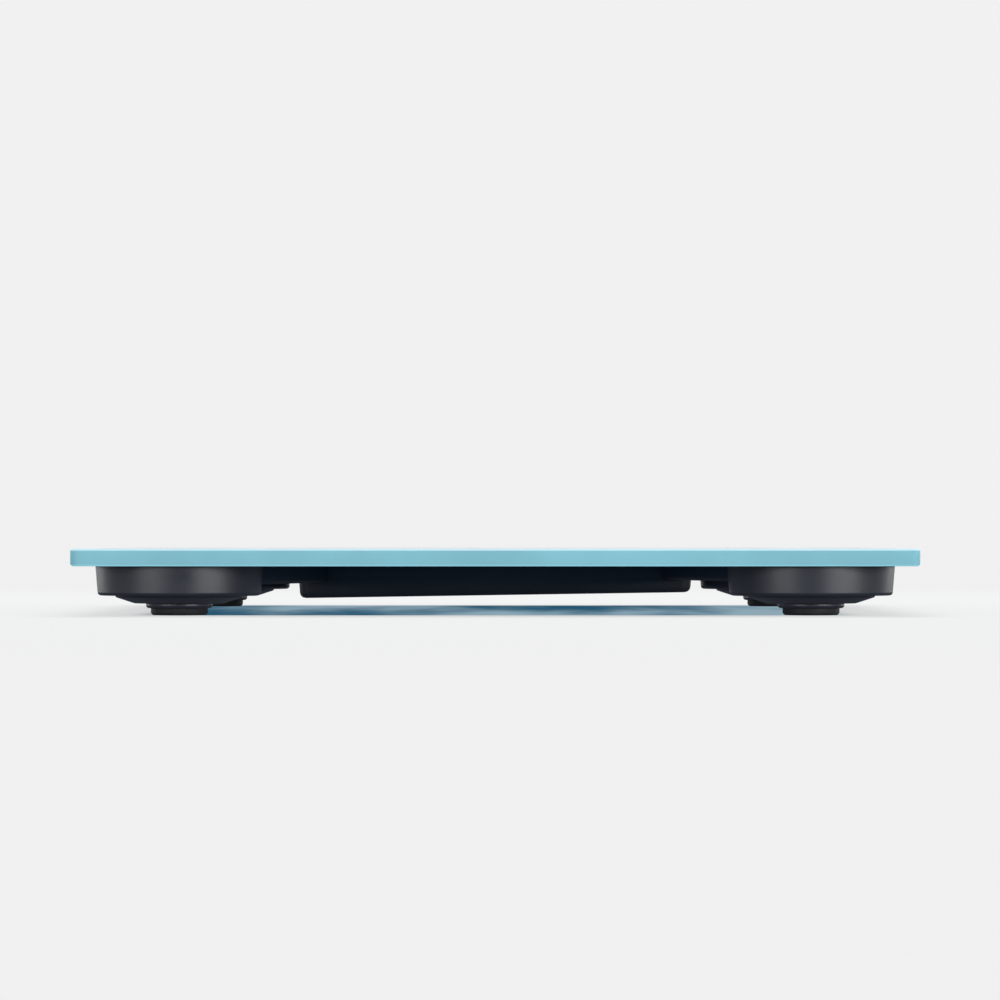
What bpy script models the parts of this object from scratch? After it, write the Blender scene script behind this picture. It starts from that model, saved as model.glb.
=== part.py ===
"""Square glass kitchen scale on four load-cell feet, with an electronics box under its display edge.

Frame: metres, +Z up. The origin is on the table, under the middle of the glass. +X is to the right,
-Y is the plain edge and +Y the edge with the display. "near" feet stand at -Y and "far" feet at +Y.
"""

import math

import bmesh
import bpy
from mathutils import Vector

GAP = 0.0003  # between neighbouring pieces
ARC_MIDDLE = 0.3  # how far a rounding's middle lies inside its corner, as a share of its radius
ROUND_STEPS = 24  # sides of a turned piece
SMALL_STEPS = 16  # sides of a small turned piece

# Glass platform
GLASS_SIDE_X = 0.240
GLASS_SIDE_Y = 0.240
GLASS_THICKNESS = 0.0050
GLASS_UNDER_Z = 0.0142
GLASS_CORNER = 0.0025
GLASS_ARRIS = 0.0006
TAPE_THICKNESS = 0.0005

# Feet
FOOT_MARGIN = 0.0049  # from a foot's cup to the edges of the glass
CUP_DRAFT = 0.0006
CUP_FILLET = 0.0010
CUP_WALL = 0.0013
CUP_ROOF = 0.0012
CUP_BOTTOM_Z = 0.0057
LEDGE_WIDTH = 0.0072
LEDGE_HEIGHT = 0.0010
CELL_SIDE = 0.034
CELL_CORNER = 0.0070
CELL_THICKNESS = 0.0015
CELL_WINDOW = 0.025
CELL_TONGUE = 0.014
CELL_SLOT = 0.0030
CELL_HOLE_RADIUS = 0.0022
CELL_CLEARANCE = 0.00106  # from a cell's round corners to its cup
RING_THICKNESS = 0.0014
RING_WIDTH = 0.0030
DISC_CLEARANCE = 0.0005
DISC_LIP = 0.0014
DISC_LIP_THICKNESS = 0.0008
DISC_WALL = 0.0015
DISC_FLAT_Z = 0.0034
DISC_FLAT = 0.0033
DISC_EDGE_Z = 0.0052
DISC_BOSS_RADIUS = 0.0050
RIM_WALL = 0.0011
RIM_BOTTOM_Z = 0.0020
RIM_FILLET = 0.0009
PAD_RADIUS = 0.0082
PAD_THICKNESS = 0.0030
PAD_CHAMFER = 0.0006
FOOT_TRAVEL = 0.0005

# Cables from the load cells, and the covers over them
CABLE_RADIUS = 0.0006
CABLE_Z = 0.0111
CABLE_SLOT = 0.0032
CABLE_LANDING = 0.0015  # how far a far cable reaches over the board
CHANNEL_WIDTH = 0.0090
CHANNEL_WALL = 0.0010
CHANNEL_CHAMFER = 0.0008
CHANNEL_DEPTH_LEFT = 0.0059
CHANNEL_DEPTH_RIGHT = 0.0050
CHANNEL_INSET = 0.0049  # channel centre from the box's side wall

# Electronics box
BOX_FOOT_GAP = 0.0050  # from the box to the far feet's cups
BOX_WIDTH = 0.080
BOX_EDGE_DISTANCE = 0.016  # from the display edge of the glass
BOX_WALL = 0.0016
BOX_FLOOR = 0.0020
BOX_CORNER = 0.0040
BOX_DRAFT = 0.0005
BOX_FILLET = 0.0018
BOX_BOTTOM_LEFT_Z = 0.0034
BOX_BOTTOM_RIGHT_Z = 0.0053

# Battery
COIN_RADIUS = 0.0100
COIN_THICKNESS = 0.0032
COIN_STEP = 0.0012
COIN_SLOPE = 0.0003  # fall of the step's top towards the can
WELL_CLEARANCE = 0.0010
WELL_WALL = 0.0012
WELL_ROOF_Z = 0.0106
WELL_ROOF = 0.0010
WELL_SIDE_MARGIN = 0.0091  # a cable passes between the well and the box's left wall
WELL_FRONT_MARGIN = 0.0072
DOOR_LEDGE = 0.0020
DOOR_REBATE = 0.0014
STRIP = 0.0003
STRIP_WIDTH = 0.0040
STRIP_Z = 0.0099

# Circuit board
BOARD_Z = 0.0086
BOARD_THICKNESS = 0.0010
BOARD_MARGIN = 0.0043
BOARD_BAND = 0.034
BOARD_WELL_GAP = 0.0088
BOARD_FRONT_MARGIN = 0.0140  # from the box's near side to the board's lobe
SCREW_INSET = 0.0040
SCREW_SHANK_RADIUS = 0.0008
SCREW_HEAD_RADIUS = 0.0019
SCREW_HEAD_HEIGHT = 0.0012
SCREW_CROWN = 0.6  # height of the head's side, and radius of its top, as shares of the head
SCREW_LENGTH = 0.0026
BOSS_RADIUS = 0.0025
CHIP_SIDE = 0.0090
CHIP_CORNER = 0.0007
CHIP_THICKNESS = 0.0012
SPRING_TOP_RADIUS = 0.0042
SPRING_FOOT_RADIUS = 0.0026
SPRING_WIRE = 0.0003
SPRING_TURNS = 4

# Unit button
BUTTON_FROM_BOARD_STEP = 0.010
BUTTON_FROM_FRONT = 0.022
BUTTON_RADIUS = 0.0027
BUTTON_LIP = 0.0010
BUTTON_LIP_THICKNESS = 0.0007
BUTTON_SEAT = 0.0009
BUTTON_RECESS = 0.0002
BUTTON_TRAVEL = 0.0005
SWITCH_SIDE = 0.0052
SWITCH_CORNER = 0.0005
SWITCH_THICKNESS = 0.0009
SWITCH_NUB_RADIUS = 0.0010
SWITCH_NUB = 0.0003

# Display
PANEL_LENGTH = 0.062
PANEL_WIDTH = 0.026
PANEL_THICKNESS = 0.0024
PANEL_STEP = 0.0018
PANEL_FROM_BOX_EDGE = 0.020  # display centre from the box's far side
FRAME_WALL = 0.0027
CONNECTOR_WIDTH = 0.0022

# Worked out from the sizes above
GLASS_TOP_Z = GLASS_UNDER_Z + GLASS_THICKNESS
BOND_Z = GLASS_UNDER_Z - GAP - TAPE_THICKNESS - GAP  # top of what is taped to the glass
CELL_REACH = (CELL_SIDE / 2 - CELL_CORNER) * math.sqrt(2) + CELL_CORNER
CUP_INNER = CELL_REACH + CELL_CLEARANCE
CUP_BOTTOM_RADIUS = CUP_INNER + CUP_WALL
CUP_TOP_RADIUS = CUP_BOTTOM_RADIUS + CUP_DRAFT
FOOT_X = GLASS_SIDE_X / 2 - FOOT_MARGIN - CUP_TOP_RADIUS
FOOT_Y = GLASS_SIDE_Y / 2 - FOOT_MARGIN - CUP_TOP_RADIUS
CUP_CEILING_Z = BOND_Z - CUP_ROOF
LEDGE_Z = CUP_CEILING_Z - LEDGE_HEIGHT
CELL_TOP_Z = LEDGE_Z - GAP
CELL_BOTTOM_Z = CELL_TOP_Z - CELL_THICKNESS
RING_OUTER = CUP_INNER - GAP
RING_INNER = RING_OUTER - RING_WIDTH
RING_TOP_Z = CUP_BOTTOM_Z + RING_THICKNESS
DISC_RADIUS = RING_INNER - DISC_CLEARANCE
DISC_LIP_RADIUS = DISC_RADIUS + DISC_LIP
DISC_LIP_Z = RING_TOP_Z + GAP
DISC_TOP_Z = CELL_BOTTOM_Z - GAP - FOOT_TRAVEL
RIM_RADIUS = PAD_RADIUS + GAP + RIM_WALL
DISC_FLAT_RADIUS = RIM_RADIUS + DISC_FLAT
PAD_SEAT_Z = PAD_THICKNESS + GAP
BOX_LENGTH = 2 * (FOOT_X - CUP_TOP_RADIUS - BOX_FOOT_GAP)
BOX_LEFT_X = -BOX_LENGTH / 2
BOX_RIGHT_X = BOX_LENGTH / 2
BOX_FAR_Y = GLASS_SIDE_Y / 2 - BOX_EDGE_DISTANCE
BOX_NEAR_Y = BOX_FAR_Y - BOX_WIDTH
BOX_SLOPE = (BOX_BOTTOM_RIGHT_Z - BOX_BOTTOM_LEFT_Z) / BOX_LENGTH
BOARD_TOP_Z = BOARD_Z + BOARD_THICKNESS
WELL_HALF = COIN_RADIUS + WELL_CLEARANCE
COIN_X = BOX_LEFT_X + BOX_WALL + WELL_SIDE_MARGIN + WELL_WALL + WELL_HALF
COIN_Y = BOX_NEAR_Y + BOX_WALL + WELL_FRONT_MARGIN + WELL_WALL + WELL_HALF
DOOR_THICKNESS = DOOR_REBATE - GAP
DOOR_HALF = WELL_HALF + DOOR_LEDGE - GAP
PANEL_Y = BOX_FAR_Y - PANEL_FROM_BOX_EDGE
PANEL_TOP_Z = GLASS_UNDER_Z - GAP
PANEL_Z = PANEL_TOP_Z - PANEL_THICKNESS
BOARD_LEFT_X = BOX_LEFT_X + BOX_WALL + BOARD_MARGIN
BOARD_RIGHT_X = BOX_RIGHT_X - BOX_WALL - BOARD_MARGIN
PANEL_ROOM_LENGTH = PANEL_LENGTH + 2 * GAP
PANEL_ROOM_WIDTH = PANEL_WIDTH + 2 * GAP
BOARD_FAR_Y = PANEL_Y + BOARD_BAND / 2 - FRAME_WALL / 3
BOARD_STEP_Y = BOARD_FAR_Y - BOARD_BAND
BOARD_NEAR_Y = BOX_NEAR_Y + BOARD_FRONT_MARGIN
BOARD_STEP_X = COIN_X + WELL_HALF + WELL_WALL + BOARD_WELL_GAP
BUTTON_X = BOARD_STEP_X + BUTTON_FROM_BOARD_STEP
BUTTON_Y = BOX_NEAR_Y + BUTTON_FROM_FRONT
KEY_X = (PANEL_ROOM_LENGTH / 2 + FRAME_WALL + BOARD_RIGHT_X) / 2
FEET = {
    "near_left": (-FOOT_X, -FOOT_Y),
    "near_right": (FOOT_X, -FOOT_Y),
    "far_left": (-FOOT_X, FOOT_Y),
    "far_right": (FOOT_X, FOOT_Y),
}
SCREWS = {
    "far_left": (BOARD_LEFT_X + SCREW_INSET, BOARD_FAR_Y - SCREW_INSET),
    "far_right": (BOARD_RIGHT_X - SCREW_INSET, BOARD_FAR_Y - SCREW_INSET),
    "near_left": (BOARD_STEP_X + SCREW_INSET, BOARD_NEAR_Y + SCREW_INSET),
    "near_right": (BOARD_RIGHT_X - SCREW_INSET, BOARD_NEAR_Y + SCREW_INSET),
}

FINISHES = {  # base colour, roughness, metallic
    "glass": ((0.22, 0.50, 0.62, 1), 0.05, 0.0),
    "charcoal": ((0.055, 0.06, 0.07, 1), 0.45, 0.0),
    "black": ((0.012, 0.014, 0.018, 1), 0.5, 0.0),
    "rubber": ((0.015, 0.015, 0.017, 1), 0.8, 0.0),
    "tape": ((0.03, 0.03, 0.03, 1), 0.9, 0.0),
    "steel": ((0.55, 0.56, 0.57, 1), 0.35, 1.0),
    "gold": ((0.80, 0.62, 0.30, 1), 0.3, 1.0),
    "board": ((0.02, 0.16, 0.07, 1), 0.45, 0.0),
    "white": ((0.85, 0.86, 0.88, 1), 0.5, 0.0),
    "display": ((0.40, 0.46, 0.42, 1), 0.1, 0.0),
    "cable": ((0.45, 0.06, 0.05, 1), 0.5, 0.0),
}


def clear_scene():
    for item in list(bpy.data.objects):
        bpy.data.objects.remove(item, do_unlink=True)


def finish(name):
    """The material of this name from FINISHES, made once."""
    made = bpy.data.materials.get(name)
    if made is None:
        colour, roughness, metallic = FINISHES[name]
        made = bpy.data.materials.new(name)
        made.use_nodes = True
        shader = made.node_tree.nodes["Principled BSDF"]
        shader.inputs["Base Color"].default_value = colour
        shader.inputs["Roughness"].default_value = roughness
        shader.inputs["Metallic"].default_value = metallic
    return made


def add_object(name, bm, finish_name, origin=(0, 0, 0), smooth=None):
    """An object from bm, whose points are in world coordinates, with its origin moved to a given point."""
    bmesh.ops.remove_doubles(bm, verts=bm.verts, dist=1e-7)
    bmesh.ops.recalc_face_normals(bm, faces=bm.faces)
    bmesh.ops.translate(bm, verts=bm.verts, vec=-Vector(origin))
    mesh = bpy.data.meshes.new(name)
    bm.to_mesh(mesh)
    bm.free()
    if smooth is not None:
        mesh.shade_smooth()
        mesh.set_sharp_from_angle(angle=smooth)
    item = bpy.data.objects.new(name, mesh)
    item.location = origin
    item.data.materials.append(finish(finish_name))
    bpy.context.scene.collection.objects.link(item)
    return item


def rounded_rectangle(centre, size, corner, steps=4):
    """Corner points of a rectangle with round corners, counter-clockwise."""
    points = []
    for quarter, (sx, sy) in enumerate(((1, 1), (-1, 1), (-1, -1), (1, -1))):
        cx = centre[0] + sx * (size[0] / 2 - corner)
        cy = centre[1] + sy * (size[1] / 2 - corner)
        for step in range(steps + 1):
            angle = math.pi / 2 * (quarter + step / steps)
            points.append((cx + corner * math.cos(angle), cy + corner * math.sin(angle)))
    return points


def rectangle(x0, y0, x1, y1):
    return [(x0, y0), (x1, y0), (x1, y1), (x0, y1)]


def circle(centre, radius, steps=SMALL_STEPS):
    turn = 2 * math.pi / steps
    return [
        (centre[0] + radius * math.cos(i * turn), centre[1] + radius * math.sin(i * turn))
        for i in range(steps)
    ]


def box_bottom_z(x):
    """Height of the electronics box's outer floor, which slopes along X."""
    return BOX_BOTTOM_LEFT_Z + BOX_SLOPE * (x - BOX_LEFT_X)


def turned(name, profile, finish_name, centre, steps=ROUND_STEPS):
    """A closed outline of (radius, height) points turned about a vertical axis through centre."""
    bm = bmesh.new()
    points = [bm.verts.new((radius, 0, z)) for radius, z in profile]
    edges = [bm.edges.new(pair) for pair in zip(points, points[1:] + points[:1])]
    edges = [edge for edge in edges if max(vert.co.x for vert in edge.verts) > 0]
    bmesh.ops.spin(
        bm,
        geom=points + edges,
        cent=(0, 0, 0),
        axis=(0, 0, 1),
        dvec=(0, 0, 0),
        angle=2 * math.pi,
        steps=steps,
        use_merge=True,
    )
    axis_edges = [edge for edge in bm.edges if not edge.link_faces]
    bmesh.ops.delete(bm, geom=axis_edges, context="EDGES")
    bmesh.ops.translate(bm, verts=bm.verts, vec=(*centre, 0))
    return add_object(name, bm, finish_name, origin=(*centre, 0), smooth=math.radians(35))


def add_plate(bm, outline, holes, z0, z1):
    """A flat plate with holes, from z0 to z1, added to bm."""
    edges = []
    for loop in [outline, *holes]:
        verts = [bm.verts.new((x, y, z0)) for x, y in loop]
        edges += [bm.edges.new(pair) for pair in zip(verts, verts[1:] + verts[:1])]
    filled = bmesh.ops.triangle_fill(bm, use_beauty=True, edges=edges)
    faces = [item for item in filled["geom"] if isinstance(item, bmesh.types.BMFace)]
    lifted = bmesh.ops.extrude_face_region(bm, geom=faces, use_keep_orig=True)
    verts = [item for item in lifted["geom"] if isinstance(item, bmesh.types.BMVert)]
    bmesh.ops.translate(bm, verts=verts, vec=(0, 0, z1 - z0))


def plate(name, outline, holes, z0, z1, finish_name, origin=(0, 0, 0)):
    bm = bmesh.new()
    add_plate(bm, outline, holes, z0, z1)
    return add_object(name, bm, finish_name, origin)


def add_loft(bm, sections):
    """Skins a list of loops, each a list of points in space, and caps both ends."""
    loops = [[bm.verts.new(point) for point in section] for section in sections]
    count = len(loops[0])
    for low, high in zip(loops, loops[1:]):
        for i in range(count):
            j = (i + 1) % count
            bm.faces.new((low[i], low[j], high[j], high[i]))
    caps = [bm.faces.new(loops[0]), bm.faces.new(loops[-1])]
    for cap in caps:
        cap.normal_update()  # a concave cap is cut into triangles by its normal
    bmesh.ops.triangulate(bm, faces=caps)


def loft(name, sections, finish_name, origin=(0, 0, 0)):
    bm = bmesh.new()
    add_loft(bm, sections)
    return add_object(name, bm, finish_name, origin)


def level(outline, z):
    return [(x, y, z) for x, y in outline]


def on_slope(outline, height):
    """The outline at a height above the box's sloping outer floor."""
    return [(x, y, box_bottom_z(x) + height) for x, y in outline]


def strip(name, profile, y0, y1, finish_name):
    """An outline of (x, z) points extruded along Y."""
    sections = [[(x, y, z) for x, z in profile] for y in (y0, y1)]
    return loft(name, sections, finish_name)


def combine(target, operation, guides):
    """One Boolean of target with all the guide solids, given as a dictionary of lofts by name."""
    group = bpy.data.collections.new(f"{target.name}_{operation.lower()}")
    bpy.context.scene.collection.children.link(group)
    for name, sections in guides.items():
        guide = loft(name, sections, "black")
        guide.hide_render = True
        guide.display_type = "WIRE"
        bpy.context.scene.collection.objects.unlink(guide)
        group.objects.link(guide)
    modifier = target.modifiers.new(group.name, "BOOLEAN")
    modifier.operation = operation
    modifier.operand_type = "COLLECTION"
    modifier.collection = group


def tube(name, points, radius, finish_name):
    curve = bpy.data.curves.new(name, "CURVE")
    curve.dimensions = "3D"
    curve.bevel_depth = radius
    curve.bevel_resolution = 1
    curve.use_fill_caps = True
    spline = curve.splines.new("POLY")
    spline.points.add(len(points) - 1)
    for target, point in zip(spline.points, points):
        target.co = (*point, 1)
    item = bpy.data.objects.new(name, curve)
    item.data.materials.append(finish(finish_name))
    bpy.context.scene.collection.objects.link(item)
    return item


def make_glass():
    def ring(inset, z):
        size = (GLASS_SIDE_X - 2 * inset, GLASS_SIDE_Y - 2 * inset)
        return level(rounded_rectangle((0, 0), size, GLASS_CORNER - inset), z)

    sections = [
        ring(GLASS_ARRIS, GLASS_UNDER_Z),
        ring(0, GLASS_UNDER_Z + GLASS_ARRIS),
        ring(0, GLASS_TOP_Z - GLASS_ARRIS),
        ring(GLASS_ARRIS, GLASS_TOP_Z),
    ]
    loft("glass_platform", sections, "glass")


def slot_sections(start, end, width, z0, z1):
    """Two rectangles across the line from start to end, for cutting a slot along it."""
    along = (Vector(end) - Vector(start)).normalized()
    side = Vector((-along.y, along.x)) * width / 2
    corners = ((-1, z0), (1, z0), (1, z1), (-1, z1))
    return [[(*(Vector(p) + side * s), z) for s, z in corners] for p in (start, end)]


def cable_target(place):
    """Where a foot's cable meets the box: a point on the outer wall."""
    x, y = FEET[place]
    left = x < 0
    if y > 0:
        return Vector((BOX_LEFT_X if left else BOX_RIGHT_X, y))
    entry_x = BOX_LEFT_X + CHANNEL_INSET if left else BOX_RIGHT_X - CHANNEL_INSET
    return Vector((entry_x, BOX_NEAR_Y))


def make_foot(place):
    centre = Vector(FEET[place])
    x, y = centre
    tape_radius = CUP_TOP_RADIUS - 2 * GAP
    tape_z = BOND_Z + GAP
    tape = ((0, tape_z), (tape_radius, tape_z), (tape_radius, tape_z + TAPE_THICKNESS))
    turned(f"foot_tape_{place}", (*tape, (0, tape_z + TAPE_THICKNESS)), "tape", centre)

    ledge_inner = CUP_INNER - LEDGE_WIDTH
    cup_profile = (
        (0, BOND_Z),
        (CUP_TOP_RADIUS, BOND_Z),
        (CUP_BOTTOM_RADIUS, CUP_BOTTOM_Z + CUP_FILLET),
        (CUP_BOTTOM_RADIUS - CUP_FILLET * ARC_MIDDLE, CUP_BOTTOM_Z + CUP_FILLET * ARC_MIDDLE),
        (CUP_BOTTOM_RADIUS - CUP_FILLET, CUP_BOTTOM_Z),
        (CUP_INNER, CUP_BOTTOM_Z),
        (CUP_INNER, LEDGE_Z),
        (ledge_inner, LEDGE_Z),
        (ledge_inner, CUP_CEILING_Z),
        (0, CUP_CEILING_Z),
    )
    cup = turned(f"foot_housing_{place}", cup_profile, "charcoal", centre)
    towards = (cable_target(place) - centre).normalized()
    slot_start = centre + towards * (ledge_inner - GAP)
    slot_end = centre + towards * (CUP_TOP_RADIUS + 2 * CUP_WALL)
    slot_bottom = CABLE_Z - CABLE_SLOT / 2
    slot = slot_sections(slot_start, slot_end, CABLE_SLOT, slot_bottom, CUP_CEILING_Z)
    combine(cup, "DIFFERENCE", {f"cable_slot_{place}": slot})

    ring = (
        (RING_INNER, CUP_BOTTOM_Z),
        (RING_OUTER, CUP_BOTTOM_Z),
        (RING_OUTER, RING_TOP_Z),
        (RING_INNER, RING_TOP_Z),
    )
    turned(f"foot_ring_{place}", ring, "charcoal", centre)
    make_load_cell(place)

    pocket_radius = DISC_RADIUS - DISC_WALL
    slope = (DISC_EDGE_Z - DISC_FLAT_Z) / (DISC_RADIUS - DISC_FLAT_RADIUS)
    pocket_floor = PAD_SEAT_Z + DISC_WALL + 2 * GAP
    pocket_edge_z = DISC_EDGE_Z + DISC_WALL - slope * DISC_WALL
    disc = (
        (0, PAD_SEAT_Z),
        (PAD_RADIUS + GAP, PAD_SEAT_Z),
        (PAD_RADIUS + GAP, RIM_BOTTOM_Z),
        (RIM_RADIUS - RIM_FILLET, RIM_BOTTOM_Z),
        (RIM_RADIUS - RIM_FILLET * ARC_MIDDLE, RIM_BOTTOM_Z + RIM_FILLET * ARC_MIDDLE),
        (RIM_RADIUS, RIM_BOTTOM_Z + RIM_FILLET),
        (RIM_RADIUS, DISC_FLAT_Z),
        (DISC_FLAT_RADIUS, DISC_FLAT_Z),
        (DISC_RADIUS, DISC_EDGE_Z),
        (DISC_RADIUS, DISC_LIP_Z),
        (DISC_LIP_RADIUS, DISC_LIP_Z),
        (DISC_LIP_RADIUS, DISC_LIP_Z + DISC_LIP_THICKNESS),
        (pocket_radius, DISC_LIP_Z + DISC_LIP_THICKNESS),
        (pocket_radius, pocket_edge_z),
        (DISC_FLAT_RADIUS, pocket_floor),
        (DISC_BOSS_RADIUS, pocket_floor),
        (DISC_BOSS_RADIUS, DISC_TOP_Z),
        (0, DISC_TOP_Z),
    )
    turned(f"foot_disc_{place}", disc, "charcoal", centre)
    pad = (
        (0, 0),
        (PAD_RADIUS - PAD_CHAMFER, 0),
        (PAD_RADIUS, PAD_CHAMFER),
        (PAD_RADIUS, PAD_THICKNESS),
        (0, PAD_THICKNESS),
    )
    turned(f"foot_pad_{place}", pad, "rubber", centre)


def make_load_cell(place):
    """A stamped plate: a square frame, and a tongue inside it that one U-shaped slot frees."""
    x, y = FEET[place]
    sign = 1 if y < 0 else -1  # the tongue's root is on the outer side
    half = CELL_WINDOW / 2
    inner = half - CELL_SLOT
    tongue = CELL_TONGUE / 2
    window = (
        (-half, -half),
        (-tongue, -half),
        (-tongue, inner),
        (tongue, inner),
        (tongue, -half),
        (half, -half),
        (half, half),
        (-half, half),
    )
    slot = [(x + px, y + sign * py) for px, py in window]
    hole = circle((x, y), CELL_HOLE_RADIUS)
    outline = rounded_rectangle((x, y), (CELL_SIDE, CELL_SIDE), CELL_CORNER)
    plate(
        f"load_cell_{place}",
        outline,
        [slot, hole],
        CELL_BOTTOM_Z,
        CELL_TOP_Z,
        "steel",
        origin=(x, y, 0),
    )


def make_channel(name, place, depth):
    """A U-shaped cover over a cable, from a foot's cup to the box, open towards the glass."""
    centre = Vector(FEET[place])
    target = cable_target(place)
    along = (target - centre).normalized()
    side = Vector((-along.y, along.x))
    bottom = GLASS_UNDER_Z - depth
    top = GLASS_UNDER_Z - GAP
    outer = CHANNEL_WIDTH / 2
    inner = outer - CHANNEL_WALL
    profile = (
        (-outer, top),
        (-outer, bottom + CHANNEL_CHAMFER),
        (-outer + CHANNEL_CHAMFER, bottom),
        (outer - CHANNEL_CHAMFER, bottom),
        (outer, bottom + CHANNEL_CHAMFER),
        (outer, top),
        (inner, top),
        (inner, bottom + CHANNEL_WALL),
        (-inner, bottom + CHANNEL_WALL),
        (-inner, top),
    )
    start = centre + along * (CUP_TOP_RADIUS + GAP)
    axis = 1 if FEET[place][1] < 0 else 0  # the wall it meets faces along this axis
    wall = target[axis] - math.copysign(GAP, along[axis])
    sections = [[], []]
    for u, z in profile:
        first = start + side * u
        reach = (wall - first[axis]) / along[axis]
        sections[0].append((*first, z))
        sections[1].append((*(first + along * reach), z))
    loft(name, sections, "black")


def make_cable(place):
    """A load cell's cable: out of the cup, under its cover, into the box and down to the board."""
    centre = Vector(FEET[place])
    target = cable_target(place)
    along = (target - centre).normalized()
    left = centre.x < 0
    inward = 1 if left else -1
    start = centre + along * (CELL_SIDE / 2 / max(abs(along.x), abs(along.y)) + CABLE_RADIUS + GAP)
    points = [(*start, CABLE_Z), (*target, CABLE_Z)]
    end_z = BOARD_TOP_Z + GAP + CABLE_RADIUS
    if centre.y > 0:
        bend = BOARD_LEFT_X if left else BOARD_RIGHT_X
        points.append((bend - inward * 2 * CABLE_RADIUS, target.y, CABLE_Z))
        points.append((bend + inward * CABLE_RADIUS, target.y, end_z))
        points.append((bend + inward * CABLE_LANDING, target.y, end_z))
    elif left:
        aisle = BOX_LEFT_X + CHANNEL_INSET
        points.append((aisle, BOX_NEAR_Y + BOX_WALL + CABLE_SLOT, CABLE_Z))
        points.append((aisle, BOARD_STEP_Y - CABLE_SLOT, CABLE_Z))
        points.append((BOARD_LEFT_X + SCREW_INSET / 2, BOARD_STEP_Y + CABLE_SLOT / 2, end_z))
        points.append((BOARD_LEFT_X + SCREW_INSET, BOARD_STEP_Y + CABLE_SLOT, end_z))
    else:
        aisle = BOX_RIGHT_X - CHANNEL_INSET
        points.append((aisle, BOX_NEAR_Y + BOX_WALL + CABLE_SLOT, CABLE_Z))
        points.append((BOARD_RIGHT_X - 2 * SCREW_INSET, BOARD_NEAR_Y - CABLE_SLOT, CABLE_Z))
        points.append((BOARD_RIGHT_X - 3 * SCREW_INSET, BOARD_NEAR_Y + CABLE_SLOT / 2, end_z))
        points.append((BOARD_RIGHT_X - 3 * SCREW_INSET, BOARD_NEAR_Y + CABLE_SLOT, end_z))
    tube(f"cell_cable_{place}", points, CABLE_RADIUS, "cable")


def make_box():
    """The tub that holds the electronics, open towards the glass, with a sloping floor."""
    centre = (0, (BOX_NEAR_Y + BOX_FAR_Y) / 2)

    def outline(inset):
        size = (BOX_LENGTH - 2 * inset, BOX_WIDTH - 2 * inset)
        return rounded_rectangle(centre, size, max(BOX_CORNER - inset, BOX_CORNER / 4))

    sections = []
    for step in range(4):
        angle = math.pi / 2 * step / 3
        inset = BOX_DRAFT + BOX_FILLET * (1 - math.sin(angle))
        sections.append(on_slope(outline(inset), BOX_FILLET * (1 - math.cos(angle))))
    sections.append(level(outline(0), BOND_Z))
    sections.append(level(outline(BOX_WALL), BOND_Z))
    sections.append(on_slope(outline(BOX_WALL + BOX_DRAFT), BOX_FLOOR))
    box = loft("electronics_housing", sections, "black")

    rim = [outline(GAP), [outline(BOX_WALL)]]
    plate("housing_tape", *rim, BOND_Z + GAP, BOND_Z + GAP + TAPE_THICKNESS, "tape")

    overlap = BOX_FLOOR / 2  # a joined piece starts inside the floor
    joined = {}
    cut = {}
    for place, centre in SCREWS.items():
        boss = circle(centre, BOSS_RADIUS)
        joined[f"boss_{place}"] = [on_slope(boss, overlap), level(boss, BOARD_Z - GAP)]
        depth = BOARD_TOP_Z + GAP - SCREW_LENGTH - BOARD_THICKNESS - 2 * GAP
        bore = circle(centre, SCREW_SHANK_RADIUS + GAP)
        cut[f"pilot_{place}"] = [level(bore, depth), level(bore, BOARD_Z)]

    def square(half):
        return rectangle(COIN_X - half, COIN_Y - half, COIN_X + half, COIN_Y + half)

    outer = square(WELL_HALF + WELL_WALL)
    joined["well_outside"] = [on_slope(outer, overlap), level(outer, WELL_ROOF_Z + WELL_ROOF)]
    room = square(WELL_HALF)
    cut["well_inside"] = [on_slope(room, -BOX_FLOOR), level(room, WELL_ROOF_Z)]
    rebate = square(DOOR_HALF + GAP)
    cut["door_rebate"] = [on_slope(rebate, -BOX_FLOOR), on_slope(rebate, DOOR_REBATE)]

    button = (BUTTON_X, BUTTON_Y)
    floor_z = box_bottom_z(BUTTON_X)
    hole = circle(button, BUTTON_RADIUS + GAP)
    above_floor = floor_z + 2 * BOX_FLOOR
    cut["button_hole"] = [level(hole, floor_z - BOX_FLOOR), level(hole, above_floor)]
    seat = circle(button, BUTTON_RADIUS + BUTTON_LIP + GAP)
    cut["button_seat"] = [level(seat, floor_z + BUTTON_SEAT), level(seat, above_floor)]

    notch_low = CABLE_Z - CABLE_RADIUS - GAP
    for place in FEET:
        target = cable_target(place)
        axis = Vector((1, 0)) if FEET[place][1] > 0 else Vector((0, 1))
        ends = (target - axis * 2 * BOX_WALL, target + axis * 2 * BOX_WALL)
        cut[f"notch_{place}"] = slot_sections(*ends, CABLE_SLOT, notch_low, GLASS_UNDER_Z)

    slot_x = (COIN_X, COIN_X + WELL_HALF + 2 * WELL_WALL)
    for name, y in contact_places().items():
        ends = ((slot_x[0], y), (slot_x[1], y))
        width = STRIP_WIDTH + 2 * GAP
        cut[f"slot_{name}"] = slot_sections(*ends, width, STRIP_Z - GAP, STRIP_Z + STRIP + GAP)
    combine(box, "UNION", joined)
    combine(box, "DIFFERENCE", cut)


def contact_places():
    """Y of the middle of each contact strip: both pass through the well's right wall."""
    return {
        "contact_positive": COIN_Y - WELL_HALF / 2,
        "contact_negative": COIN_Y + WELL_HALF / 2,
    }


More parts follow.
